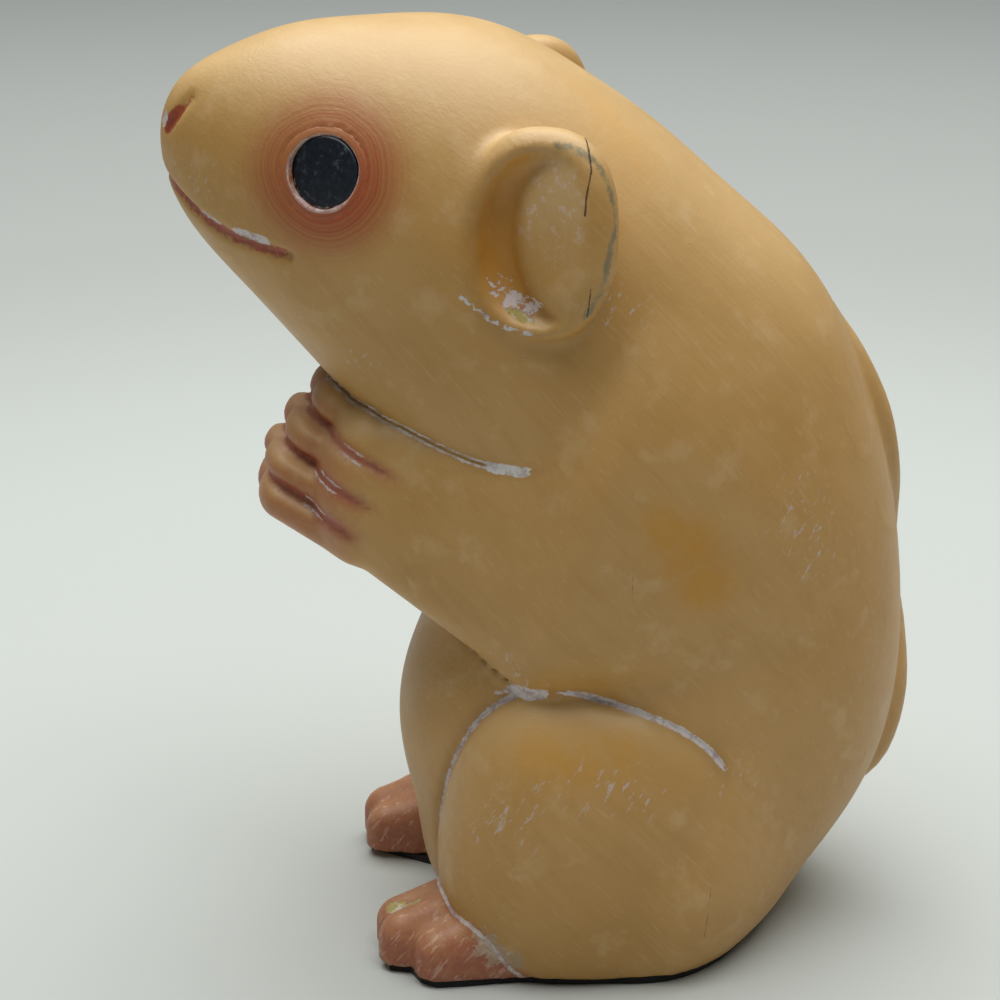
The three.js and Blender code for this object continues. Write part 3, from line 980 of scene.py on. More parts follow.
    def creases(self, carving: Carving, p: Array) -> dict[str, Array]:
        """Distances to the worn creases where one carved form meets the next.

        Args:
            carving: The carving under the paint.
            p: Points of the skin.

        Returns:
            Signed millimetres by name, and for each line where it is gone, from 0 to 1.
        """
        side = folded(p)
        forms = carving.shapes(p)
        y, z = p[:, 1], p[:, 2]
        arm, arm_off = self.crease(carving, p, "paw")
        hip, hip_off = self.crease(carving, p, "thigh")
        toes, toes_off = self.crease(carving, p, "toes")
        back, across = carving.paw.course(side)
        off = ramp(np.abs(forms["paw"]), 1.0, 2.5)
        low = ramp(-z, -100.0, -92.0)
        thin = 0.4 * ramp(y, -16.0, -8.0)
        far = (p[:, 0] < 0.0).astype(float)
        lines = {
            "arm_gone": arm_off + thin + ramp(y, -6.0, 1.0) + low * ramp(y, -20.0, -10.0),
            "arm_end_gone": arm_off + ramp(-y, 17.0, 21.0) + ramp(y, -10.0, -5.0) + low,
            "hip_gone": hip_off + ramp(y, 31.0, 35.0) + ramp(y, -8.0, 4.0) * ramp(-z, -46.0, -38.0),
            "instep_gone": toes_off + far,
            "finger_gone": off + ramp(back, 12.0, 18.0),
            "streak_gone": off + far + ramp(back, 8.0, 11.0) + ramp(-back, -4.0, -1.0),
        }
        return {
            **{name: np.clip(gone, 0.0, 1.0) for name, gone in lines.items()},
            "arm": arm,
            "hip": hip,
            "instep": toes,
            "web": np.maximum(forms["toe_groove"], np.abs(forms["toes"])) - 0.3,
            "finger": across,
        }

    def splits(self, p: Array) -> dict[str, Array]:
        """How far points of the left side lie from the nearest upright crack.

        Args:
            p: Points of the skin.

        Returns:
            Signed millimetres along the depth, and where there is no crack, from 0 to 1. The
            latter is a little below zero where a crack is wide.
        """
        across, gone = np.full(len(p), 60.0), np.ones(len(p))
        for crack in self.cracks:
            course = np.array(crack.points)[::-1]
            aside = p[:, 1] - np.interp(p[:, 2], course[:, 2], course[:, 1])
            past = np.maximum(course[0, 2] - p[:, 2], p[:, 2] - course[-1, 2])
            out = np.maximum(ramp(past, 0.0, 1.0), (p[:, 0] < 30.0).astype(float))
            near = np.abs(aside) + 20.0 * out < np.abs(across) + 20.0 * gone
            across = np.where(near, aside, across)
            gone = np.where(near, out - crack.radius / GONE_MM, gone)
        return {"crack": across, "crack_gone": gone}

    def eye_marks(self, carving: Carving, p: Array) -> dict[str, Array]:
        """The rose paint, deeper towards the lower back as painted shade, and the thin ring of bare ground
        round the eyes, which widens below as a painted highlight.

        Args:
            carving: The carving under the paint.
            p: Points of the skin.

        Returns:
            Halo and ring in millimetres, and blush from 0 to 1.
        """
        halo = np.full(len(p), 60.0)
        turn = np.zeros(len(p))
        for eye in carving.eyes:
            height, reach, angle = eye.parts(p, carving.torso)
            near = (height > -12.0) & (reach < halo) & (p[:, 0] * eye.side.value > 0.0)
            halo = np.where(near, reach, halo)
            turn = np.where(near, angle, turn)
        # The ring of bare ground widens on its lower side, where the lower wall of the recess catches the
        # light: a painted highlight.
        low = ramp(-np.sin(turn), 0.5, 1.0)
        return {
            "halo": halo,
            "ring": np.abs(halo - 7.2) - 0.22 - 0.45 * low,
            # The rose paint is real; its extra depth towards the lower back is painted shade of the hollow
            # round the eye.
            "blush": ramp(-halo, -20.5, -9.0) * (0.86 + 0.14 * np.cos(turn + 0.9)),
        }

    def ear_marks(self, carving: Carving, p: Array) -> dict[str, Array]:
        """How far a point lies in the deep front of an ear, and on its raised floor.

        Args:
            carving: The carving under the paint.
            p: Points of the skin.

        Returns:
            Numbers from 0 to 1 by name.
        """
        cup = np.zeros(len(p))
        floor = np.zeros(len(p))
        for ear in carving.ears:
            _, across, height = ear.parts(p)
            inside = ramp(-ear.hollow(p), -1.2, 0.0) * ramp(-ear.lobe(p), 0.2, 1.6)
            reach = np.hypot((across - ear.floor_across) / ear.floor_half[0], height / ear.floor_half[1])
            cup = np.maximum(cup, inside * ramp(reach, 0.86, 1.02) * ramp(-across, 0.0, 4.0))
            floor = np.maximum(floor, inside * ramp(-reach, -1.0, -0.8) * ramp(height, -8.0, 8.0))
        return {"cup": cup, "floor": floor}

    def traces(self, carving: Carving, p: Array) -> dict[str, Array]:
        """Measures every trace at the points of the skin.

        Args:
            carving: The carving under the paint.
            p: Points of the skin.

        Returns:
            Numbers by name: distances to edges in millimetres, and covers from 0 to 1.
        """
        side = folded(p)
        forms = carving.shapes(p)
        crease = self.creases(carving, p)
        eye = self.eye_marks(carving, p)
        hidden = np.where(p[:, 0] > 0.0, 0.0, 6.0)
        chips = nearest_of(self.mouth_chips + (self.nose_chip, self.toe_line) + self.ear_line, p) + hidden
        patch = self.hip_patch.distance(p, 0.3) + hidden
        foot = self.foot_line.distance(side)
        tip = ramp(-p[:, 1], 40.0, 51.0) * ramp(-forms["paw"], -3.0, -0.5)
        groove = ramp(-np.abs(crease["finger"]), -2.4, -0.6) * (1.0 - crease["finger_gone"])
        inner = ramp(-p[:, 1], 38.0, 44.0) * ramp(-forms["paw"], -3.0, -0.5) * ramp(-p[:, 0], -3.0, 0.0)
        lobes = np.min([ear.lobe(p) for ear in carving.ears], axis=0)
        arm = np.abs(crease["arm"]) + GONE_MM * crease["arm_gone"]
        hip = np.abs(crease["hip"]) + GONE_MM * crease["hip_gone"]
        # The creases where arm, thigh and ear meet the body are darkened: painted shade.
        crease_distance = np.min([arm, hip, np.maximum(lobes, forms["core"])], axis=0)
        return {
            "worn": np.min([crease["web"] + 0.4, chips, patch, foot], axis=0),
            **crease,
            "ring": eye["ring"],
            "flakes": self.flakes.distance(p),
            "timber": np.minimum(nearest_of(self.bare_ends, p), self.toe_chip.distance(p)),
            "green": self.green_rim.distance(p),
            "plaster": self.foot_patch.distance(p),
            **self.splits(p),
            "pinhole": nearest_of(self.pinholes, p, 0.3) + hidden,
            "halo": eye["halo"],
            "blush": eye["blush"],
            "paws": np.clip(0.6 * tip + inner + 0.7 * groove, 0.0, 1.0),
            "feet": ramp(-forms["toes"], -1.5, 0.1),
            "mouth": Trace(carving.lips, 1.35).distance(side) + 0.5 * ramp(p[:, 1], -60.0, -54.0),
            "nostril": Trace(carving.nostril, 0.7).distance(side) - 1.1 * ramp(-p[:, 1], 74.0, 77.0),
            **self.ear_marks(carving, p),
            "scuff": ramp(-nearest_of(self.scuffs, p), -4.0, 3.0),
            "stain": ramp(-nearest_of(self.stains, p), -6.0, 3.0),
            # Painted shade in the creases of arm, thigh and ear.
            "crease_shade": ramp(-crease_distance, -3.5, 0.0),
        }


# Finishes


def linear(code: str) -> tuple[float, float, float, float]:
    """An sRGB hex colour as linear numbers.

    Args:
        code: Six hex digits after a hash.

    Returns:
        Red, green, blue and a full alpha.
    """
    parts = [int(code[i : i + 2], 16) / 255.0 for i in (1, 3, 5)]
    r, g, b = (c / 12.92 if c <= 0.04045 else ((c + 0.055) / 1.055) ** 2.4 for c in parts)
    return r, g, b, 1.0


class Kind(Enum):
    """Blender's names for the nodes that the finishes are made of."""

    ATTRIBUTE = "ShaderNodeAttribute"
    BUMP = "ShaderNodeBump"
    COORDINATES = "ShaderNodeTexCoord"
    MAPPING = "ShaderNodeMapping"
    MATH = "ShaderNodeMath"
    MIX = "ShaderNodeMix"
    NOISE = "ShaderNodeTexNoise"
    OUTPUT = "ShaderNodeOutputMaterial"
    RANGE = "ShaderNodeMapRange"
    SHADER = "ShaderNodeBsdfPrincipled"
    VECTOR = "ShaderNodeVectorMath"


def add(
    tree: bpy.types.NodeTree,
    kind: Kind,
    feeds: dict[str | int, object] | None = None,
    **settings: object,
) -> bpy.types.NodeOutputs:
    """Adds a node with its settings and links.

    Args:
        tree: Tree that it goes in.
        kind: What it is.
        feeds: For each input, a socket that is linked or a value that is set.
        settings: The node's own settings.

    Returns:
        The new node's outputs.
    """
    node = tree.nodes.new(kind.value)
    for name, value in settings.items():
        setattr(node, name, value)
    for key, value in (feeds or {}).items():
        if isinstance(value, Socket):
            tree.links.new(value, node.inputs[key])
        else:
            node.inputs[key].default_value = value
    return node.outputs


def per_mm(size: float) -> float:
    """A texture scale whose features are this many millimetres across."""
    return 1.0 / (size * MM)


def new_material(name: str) -> tuple[bpy.types.Material, bpy.types.NodeTree, bpy.types.NodeInputs]:
    """An empty material with its shader.

    Args:
        name: What the real material is.

    Returns:
        The material, its tree and the inputs of its Principled shader.
    """
    material = bpy.data.materials.new(name)
    material.use_nodes = True
    tree = material.node_tree
    tree.nodes.clear()
    surface = add(tree, Kind.SHADER)["BSDF"]
    add(tree, Kind.OUTPUT, {"Surface": surface})
    return material, tree, surface.node.inputs


class Cloud(Enum):
    """Noises that break the paint up: size in millimetres, detail, roughness, lean and stretch."""

    SWELL = (26.0, 4.0, 0.55, 0.0, 1.0)
    HAZE = (9.0, 5.0, 0.55, 0.0, 1.0)
    FLECK = (2.4, 4.0, 0.65, 0.0, 1.0)
    CRUMB = (0.9, 3.0, 0.6, 0.0, 1.0)
    # Gesso grit is 0.05 mm, too fine to show, so it is drawn at 0.35 mm.
    GRIT = (0.35, 2.0, 0.55, 0.0, 1.0)
    BRISTLE = (0.8, 3.0, 0.6, 42.0, 14.0)
    STROKE = (3.2, 3.0, 0.55, 42.0, 14.0)
    SCRATCH = (1.3, 5.0, 0.7, -35.0, 4.0)
    NICK = (1.7, 5.0, 0.75, -35.0, 4.0)

    def socket(self, tree: bpy.types.NodeTree, where: Socket) -> Socket:
        """The noise, from 0 to 1.

        Args:
            tree: Tree that it goes in.
            where: Place on the piece.

        Returns:
            The socket that gives it.
        """
        size, detail, roughness, lean, stretch = self.value
        if stretch != 1.0:
            turn = (math.radians(lean), 0.0, 0.0)
            feeds = {"Vector": where, "Rotation": turn, "Scale": (1.0, 1.0, stretch)}
            where = add(tree, Kind.MAPPING, feeds, vector_type="TEXTURE")["Vector"]
        feeds = {"Vector": where, "Scale": per_mm(size), "Detail": detail, "Roughness": roughness}
        return add(tree, Kind.NOISE, feeds)["Fac"]


@dataclass(frozen=True)
class Coat:
    """A thin coat of colour, laid where a cloud is high.

    Attributes:
        colour: Its hex colour.
        cloud: The noise that breaks it up.
        low: Where on the noise it starts.
        high: Where it is full.
        least: Its cover at the low end.
        most: Its cover at the high end.
        trace: The trace that it keeps to, if any.
    """

    colour: str
    cloud: Cloud
    low: float
    high: float
    least: float
    most: float
    trace: str = ""


@dataclass(frozen=True)
class Chip:
    """A hard-edged patch, laid where a trace's distance is negative.

    Attributes:
        colour: Its hex colour.
        other: A second hex colour, in flecks.
        trace: The trace that it follows.
        ragged: Millimetres that its edge wanders, by the broad and by the fine noise.
        sharp: Millimetres over which its edge fades.
        cover: How much of the paint it hides.
        sunk: Millimetres that it lies below the paint.
        line: For a signed trace, how far from it the chip runs on each side, and half its width.
        gone: The trace that says where such a line has died away.
    """

    colour: str
    other: str
    trace: str
    ragged: Pair
    sharp: float
    cover: float
    sunk: float = 0.0
    line: Pair | None = None
    gone: str = ""


@dataclass(frozen=True)
class OilPaintOnGesso:
    """Thin oil paint brushed over white gesso on limewood and rubbed back.

    The eye sees a satin cream ochre skin, cloudy and streaked where the brush ran, with chalky
    lilac-white ground where hands and time took the paint off.
    """

    cream: str = "#C99C5E"
    coats: tuple[Coat, ...] = (
        Coat("#B98A45", Cloud.SWELL, 0.3, 0.72, 0.15, 0.75),
        Coat("#B98A45", Cloud.STROKE, 0.48, 0.7, 0.0, 0.38),
        Coat("#DDBE92", Cloud.BRISTLE, 0.54, 0.78, 0.0, 0.24),
        Coat("#D6B484", Cloud.HAZE, 0.54, 0.72, 0.0, 0.4),
        Coat("#C98C22", Cloud.HAZE, 0.28, 0.58, 0.15, 0.8, "stain"),
        Coat("#CC8B2E", Cloud.HAZE, 0.2, 0.6, 0.5, 0.9, "cup"),
        Coat("#D9B684", Cloud.HAZE, 0.25, 0.6, 0.3, 0.6, "floor"),
        Coat("#DCC4B6", Cloud.FLECK, 0.5, 0.64, 0.0, 0.6, "floor"),
        Coat("#AC6C4C", Cloud.HAZE, 0.3, 0.7, 0.85, 1.0, "feet"),
        Coat("#A25641", Cloud.FLECK, 0.38, 0.6, 0.05, 0.65, "feet"),
        Coat("#D8B09C", Cloud.SCRATCH, 0.54, 0.64, 0.0, 0.55, "feet"),
        Coat("#A65440", Cloud.FLECK, 0.25, 0.6, 0.7, 0.95, "paws"),
        # Darker brown in the creases of arm, thigh and ear: painted shade.
        Coat("#8A6238", Cloud.HAZE, 0.3, 0.7, 0.1, 0.42, "crease_shade"),
        Coat("#CDBDBB", Cloud.SCRATCH, 0.57, 0.65, 0.0, 0.75, "scuff"),
        Coat("#D3C0AE", Cloud.NICK, 0.74, 0.77, 0.0, 0.6),
    )
    # Paler cream laid on upward faces: a painted highlight of the overhead light.
    highlight_cream: str = "#E2C48F"
    rose: str = "#A2452C"
    rose_cover: Pair = (0.68, 1.0)
    ring_width: float = 0.55
    ring_wander: float = 4.0
    ring_height: float = 0.09
    chips: tuple[Chip, ...] = (
        Chip("#B05847", "#A04A3B", "mouth", (0.9, 0.5), 0.35, 0.94),
        Chip("#A2492F", "#8E3C28", "nostril", (0.6, 0.3), 0.25, 0.96),
        Chip("#9C5847", "#A86654", "finger", (0.3, 0.3), 0.4, 0.8, 0.15, (0.0, 0.5), "finger_gone"),
        # Dark lines right in the arm and thigh creases: painted shade.
        Chip("#6E5236", "#7A5A3A", "arm", (0.2, 0.15), 0.25, 0.6, 0.2, (0.0, 0.18), "arm_gone"),
        Chip("#8A6A4C", "#7A5A3A", "hip", (0.2, 0.15), 0.25, 0.8, 0.3, (0.0, 0.25), "hip_gone"),
        Chip("#77735A", "#8D8562", "green", (0.9, 0.4), 0.4, 0.75),
        Chip("#B39A80", "#CDBBA6", "plaster", (5.0, 2.5), 0.5, 0.8, -0.1),
        Chip("#B08A80", "#CDBDB8", "ring", (0.25, 0.3), 0.12, 0.9),
        Chip("#D8CCCA", "#B5703A", "flakes", (5.5, 3.0), 0.3, 0.95, 0.1),
        Chip("#DAD0CE", "#C3A6A0", "finger", (0.3, 0.55), 0.15, 0.9, 0.05, (0.9, 0.22), "streak_gone"),
        Chip("#DAD0CE", "#B7A2A4", "arm", (0.2, 0.35), 0.12, 0.9, 0.05, (0.55, 0.17), "arm_gone"),
        Chip("#E2DCDA", "#C3B4B4", "arm", (0.3, 0.3), 0.12, 0.94, 0.05, (0.4, 0.6), "arm_end_gone"),
        Chip("#DAD0CE", "#B7A2A4", "hip", (0.2, 0.4), 0.12, 0.94, 0.05, (0.3, 0.4), "hip_gone"),
        Chip("#DAD0CE", "#B7A2A4", "instep", (0.2, 0.5), 0.12, 0.9, 0.05, (0.2, 0.25), "instep_gone"),
        Chip("#DAD0CE", "#B7A2A4", "worn", (0.5, 0.35), 0.12, 0.94, 0.08),
        Chip("#B3A15E", "#D8D0BE", "timber", (2.0, 1.0), 0.2, 1.0, 0.2),
        Chip("#3A2A1C", "#2A1D14", "crack", (0.2, 0.15), 0.1, 0.85, 0.35, (0.0, 0.0), "crack_gone"),
        Chip("#3A2A1C", "#2A1D14", "pinhole", (0.0, 0.0), 0.3, 0.9, 0.35),
    )
    relief: tuple[tuple[Cloud, float], ...] = (
        (Cloud.BRISTLE, 0.09),
        (Cloud.GRIT, 0.02),
        (Cloud.HAZE, 0.25),
        (Cloud.CRUMB, 0.03),
    )
    gloss: Pair = (0.37, 0.5)
    chalky: float = 0.35

    def build(self) -> bpy.types.Material:
        """Makes the material.

        Returns:
            The finished material.
        """
        material, tree, shader = new_material("oil_paint_on_gesso")
        where = add(tree, Kind.COORDINATES)["Object"]
        clouds = {cloud: cloud.socket(tree, where) for cloud in Cloud}
        paint, rings = self.lay_coats(tree, clouds)
        paint, dull, sunk = self.lay_chips(tree, clouds, paint)
        tree.links.new(paint, shader["Base Color"])

        # Satin where the paint is whole, and chalky where it is off.
        low, high = self.gloss
        feeds = {"Value": clouds[Cloud.HAZE], "From Min": 0.3, "From Max": 0.7, "To Min": low, "To Max": high}
        satin = add(tree, Kind.RANGE, feeds)["Result"]
        feeds = {0: dull, 1: self.chalky, 2: satin}
        tree.links.new(add(tree, Kind.MATH, feeds, operation="MULTIPLY_ADD")["Value"], shader["Roughness"])
        shader["IOR"].default_value = 1.47

        # Relief in millimetres: brush marks, the step down to the ground, cracks.
        height = rings
        for cloud, weight in self.relief:
            feeds = {0: clouds[cloud], 1: weight, 2: height}
            height = add(tree, Kind.MATH, feeds, operation="MULTIPLY_ADD")["Value"]
        height = add(tree, Kind.MATH, {0: height, 1: sunk}, operation="SUBTRACT")["Value"]
        feeds = {"Strength": 0.8, "Distance": MM, "Height": height}
        tree.links.new(add(tree, Kind.BUMP, feeds)["Normal"], shader["Normal"])
        return material

    def lay_coats(self, tree: bpy.types.NodeTree, clouds: dict[Cloud, Socket]) -> tuple[Socket, Socket]:
        """Lays the thin coats, the painted highlight on upward faces and the rose paint that was brushed
        round and round the eyes.

        Args:
            tree: Tree of the material.
            clouds: The noises.

        Returns:
            The colour, and the relief of the round brush marks in millimetres.
        """
        paint = linear(self.cream)
        for coat in self.coats:
            feeds = {
                "Value": clouds[coat.cloud],
                "From Min": coat.low,
                "From Max": coat.high,
                "To Min": coat.least,
                "To Max": coat.most,
            }
            cover = add(tree, Kind.RANGE, feeds, interpolation_type="SMOOTHSTEP")["Result"]
            if coat.trace:
                kept = add(tree, Kind.ATTRIBUTE, attribute_name=coat.trace)["Fac"]
                cover = add(tree, Kind.MATH, {0: cover, 1: kept}, operation="MULTIPLY")["Value"]
            feeds = {0: cover, 6: paint, 7: linear(coat.colour)}
            paint = add(tree, Kind.MIX, feeds, data_type="RGBA")[2]
        # Upward faces turn paler cream: a painted highlight.
        upward_highlight = add(tree, Kind.ATTRIBUTE, attribute_name="upward_highlight")["Fac"]
        paint = add(tree, Kind.MIX, {0: upward_highlight, 6: paint, 7: linear(self.highlight_cream)}, data_type="RGBA")[2]
        halo = add(tree, Kind.ATTRIBUTE, attribute_name="halo")["Fac"]
        blush = add(tree, Kind.ATTRIBUTE, attribute_name="blush")["Fac"]
        feeds = {0: clouds[Cloud.SWELL], 1: self.ring_wander, 2: halo}
        wobble = add(tree, Kind.MATH, feeds, operation="MULTIPLY_ADD")["Value"]
        feeds = {"W": wobble, "Scale": 1.0 / self.ring_width, "Detail": 3.0}
        rings = add(tree, Kind.NOISE, feeds, noise_dimensions="1D")["Fac"]
        least, most = self.rose_cover
        feeds = {"Value": rings, "From Min": 0.3, "From Max": 0.7, "To Min": least, "To Max": most}
        cover = add(tree, Kind.RANGE, feeds, interpolation_type="SMOOTHSTEP")["Result"]
        cover = add(tree, Kind.MATH, {0: cover, 1: blush}, operation="MULTIPLY")["Value"]
        feeds = {0: cover, 6: paint, 7: linear(self.rose)}
        paint = add(tree, Kind.MIX, feeds, data_type="RGBA")[2]
        marks = add(tree, Kind.MATH, {0: rings, 1: blush}, operation="MULTIPLY")["Value"]
        return paint, add(tree, Kind.MATH, {0: marks, 1: self.ring_height}, operation="MULTIPLY")["Value"]

    def lay_chips(
        self, tree: bpy.types.NodeTree, clouds: dict[Cloud, Socket], paint: Socket
    ) -> tuple[Socket, Socket, Socket]:
        """Lays the hard-edged strokes, worn lines, dark lines of painted shade in the creases, chips and
        cracks.

        Args:
            tree: Tree of the material.
            clouds: The noises.
            paint: The colour so far.

        Returns:
            The colour, how dull the surface is, and how deep it is sunk in millimetres.
        """
        dull: Socket | float = 0.0
        sunk: Socket | float = 0.0
        for chip in self.chips:
            edge = add(tree, Kind.ATTRIBUTE, attribute_name=chip.trace)["Fac"]
            if chip.line:
                away = add(tree, Kind.MATH, {0: edge}, operation="ABSOLUTE")["Value"]
                away = add(tree, Kind.MATH, {0: away, 1: chip.line[0]}, operation="SUBTRACT")["Value"]
                away = add(tree, Kind.MATH, {0: away}, operation="ABSOLUTE")["Value"]
                edge = add(tree, Kind.MATH, {0: away, 1: chip.line[1]}, operation="SUBTRACT")["Value"]
                gone = add(tree, Kind.ATTRIBUTE, attribute_name=chip.gone)["Fac"]
                edge = add(tree, Kind.MATH, {0: gone, 1: GONE_MM, 2: edge}, operation="MULTIPLY_ADD")["Value"]
            for cloud, ragged in zip((Cloud.FLECK, Cloud.CRUMB), chip.ragged):
                feeds = {0: clouds[cloud], 1: 2.0 * ragged, 2: edge}
                edge = add(tree, Kind.MATH, feeds, operation="MULTIPLY_ADD")["Value"]
            middle = sum(chip.ragged)
            feeds = {"Value": edge, "From Min": middle + chip.sharp, "From Max": middle - chip.sharp}
            feeds["To Max"] = chip.cover
            cover = add(tree, Kind.RANGE, feeds, interpolation_type="SMOOTHSTEP")["Result"]
            feeds = {"Value": clouds[Cloud.FLECK], "From Min": 0.46, "From Max": 0.6}
            feeds = {0: add(tree, Kind.RANGE, feeds)["Result"], 6: linear(chip.colour), 7: linear(chip.other)}
            colour = add(tree, Kind.MIX, feeds, data_type="RGBA")[2]
            paint = add(tree, Kind.MIX, {0: cover, 6: paint, 7: colour}, data_type="RGBA")[2]
            if chip.sunk:
                dull = add(tree, Kind.MATH, {0: dull, 1: cover}, operation="MAXIMUM")["Value"]
                feeds = {0: cover, 1: chip.sunk, 2: sunk}
                sunk = add(tree, Kind.MATH, feeds, operation="MULTIPLY_ADD")["Value"]
        return paint, dull, sunk


@dataclass(frozen=True)
class WornEyePaint:
    """Blue-black oil paint on a flat wooden disc.

    The eye sees a dark, slightly shiny disc with pale dust and scratches in its brush marks.
    """

    navy: str = "#0F1722"
    dust: str = "#76838F"
    chip: str = "#C9CBC8"
    gloss: Pair = (0.26, 0.55)

    def build(self) -> bpy.types.Material:
        """Makes the material.

        Returns:
            The finished material.
        """
        material, tree, shader = new_material("blue_black_oil_paint")
        where = add(tree, Kind.COORDINATES)["Object"]
        feeds = {"Vector": where, "Scale": per_mm(1.3), "Detail": 5.0, "Roughness": 0.7}
        dust = add(tree, Kind.NOISE, feeds)["Fac"]
        feeds = {"Vector": where, "Scale": per_mm(5.0), "Detail": 3.0}
        cloud = add(tree, Kind.NOISE, feeds)["Fac"]
        feeds = {"Value": dust, "From Min": 0.54, "From Max": 0.74, "To Max": 0.5}
        speck = add(tree, Kind.RANGE, feeds)["Result"]
        feeds = {"Value": cloud, "From Min": 0.4, "From Max": 0.62, "To Min": 0.15}
        patch = add(tree, Kind.RANGE, feeds)["Result"]
        cover = add(tree, Kind.MATH, {0: speck, 1: patch}, operation="MULTIPLY")["Value"]
        feeds = {0: cover, 6: linear(self.navy), 7: linear(self.dust)}
        colour = add(tree, Kind.MIX, feeds, data_type="RGBA")[2]
        edge = add(tree, Kind.ATTRIBUTE, attribute_name="edge")["Fac"]
        wander = add(tree, Kind.MATH, {0: dust, 1: edge}, operation="ADD")["Value"]
        feeds = {"Value": wander, "From Min": 1.42, "From Max": 1.5}
        rubbed = add(tree, Kind.RANGE, feeds)["Result"]
        feeds = {0: rubbed, 6: colour, 7: linear(self.chip)}
        tree.links.new(add(tree, Kind.MIX, feeds, data_type="RGBA")[2], shader["Base Color"])
        low, high = self.gloss
        feeds = {"Value": dust, "From Min": 0.3, "From Max": 0.7, "To Min": low, "To Max": high}
        tree.links.new(add(tree, Kind.RANGE, feeds)["Result"], shader["Roughness"])
        feeds = {"Strength": 0.5, "Distance": 0.15 * MM, "Height": dust}
        tree.links.new(add(tree, Kind.BUMP, feeds)["Normal"], shader["Normal"])
        return material


@dataclass(frozen=True)
class BlackFelt:
    """Pressed wool felt glued under the figure.

    The eye sees a soft black edge with no shine and a little fuzz.
    """

    black: str = "#141416"
    fuzz: str = "#3B3A3C"

    def build(self) -> bpy.types.Material:
        """Makes the material.

        Returns:
            The finished material.
        """
        material, tree, shader = new_material("black_wool_felt")
        where = add(tree, Kind.COORDINATES)["Object"]
        # Fibres are 0.03 mm across, too fine to show, so they are drawn as 0.4 mm tufts.
        feeds = {"Vector": where, "Scale": per_mm(0.4), "Detail": 4.0, "Roughness": 0.7}
        fibre = add(tree, Kind.NOISE, feeds)["Fac"]
        feeds = {"Value": fibre, "From Min": 0.5, "From Max": 0.75, "To Max": 0.5}
        cover = add(tree, Kind.RANGE, feeds)["Result"]
        feeds = {0: cover, 6: linear(self.black), 7: linear(self.fuzz)}
        tree.links.new(add(tree, Kind.MIX, feeds, data_type="RGBA")[2], shader["Base Color"])
        shader["Roughness"].default_value = 0.95
        shader["Sheen Weight"].default_value = 0.2
        feeds = {"Strength": 0.7, "Distance": 0.3 * MM, "Height": fibre}
        tree.links.new(add(tree, Kind.BUMP, feeds)["Normal"], shader["Normal"])
        return material


@dataclass(frozen=True)
class StudioCard:
    """Matt painted board under the figure.

    The eye sees a pale grey sheet, painted greyer further off as painted shade of the board away from the
    light.
    """

    near: str = "#C4C9C4"
    far: str = "#B4B8B4"
    fade: Pair = (0.26, 0.6)

    def build(self) -> bpy.types.Material:
        """Makes the material.

        Returns:
            The finished material.
        """
        material, tree, shader = new_material("matt_white_board")
        where = add(tree, Kind.COORDINATES)["Object"]
        away = add(tree, Kind.VECTOR, {0: where}, operation="LENGTH")["Value"]
        start, end = self.fade
        feeds = {"Value": away, "From Min": start, "From Max": end}
        cover = add(tree, Kind.RANGE, feeds, interpolation_type="SMOOTHSTEP")["Result"]
        feeds = {0: cover, 6: linear(self.near), 7: linear(self.far)}
        tree.links.new(add(tree, Kind.MIX, feeds, data_type="RGBA")[2], shader["Base Color"])
        shader["Roughness"].default_value = 0.8
        return material


# Pieces


def new_piece(name: str, points: Array, faces: list | Array, finish: bpy.types.Material) -> bpy.types.Object:
    """Makes a smooth mesh object from points in metres.

    Args:
        name: Name of the piece.
        points: Its points in the row frame.
        faces: Its faces as rows of point numbers.
        finish: Its material.

    Returns:
        The object, linked to the scene.
    """
    mesh = bpy.data.meshes.new(name)
    mesh.from_pydata([tuple(p) for p in points], [], [tuple(int(i) for i in face) for face in faces])
    mesh.update()
    mesh.shade_smooth()
    mesh.materials.append(finish)
    piece = bpy.data.objects.new(name, mesh)
    bpy.context.scene.collection.objects.link(piece)
    return piece


def carry(piece: bpy.types.Object, values: dict[str, Array]) -> None:
    """Stores numbers on a piece's points.

    Args:
        piece: The piece.
        values: One number a point, by name.
    """
    for name, numbers in values.items():
        layer = piece.data.attributes.new(name, "FLOAT", "POINT")
        layer.data.foreach_set("value", numbers.astype(np.float32))


def in_frame(p: Array, middle_y: float) -> Array:
    """Points in millimetres on the carver's axes, as metres in the row frame."""
    return (p - np.array([0.0, middle_y, 0.0])) * MM


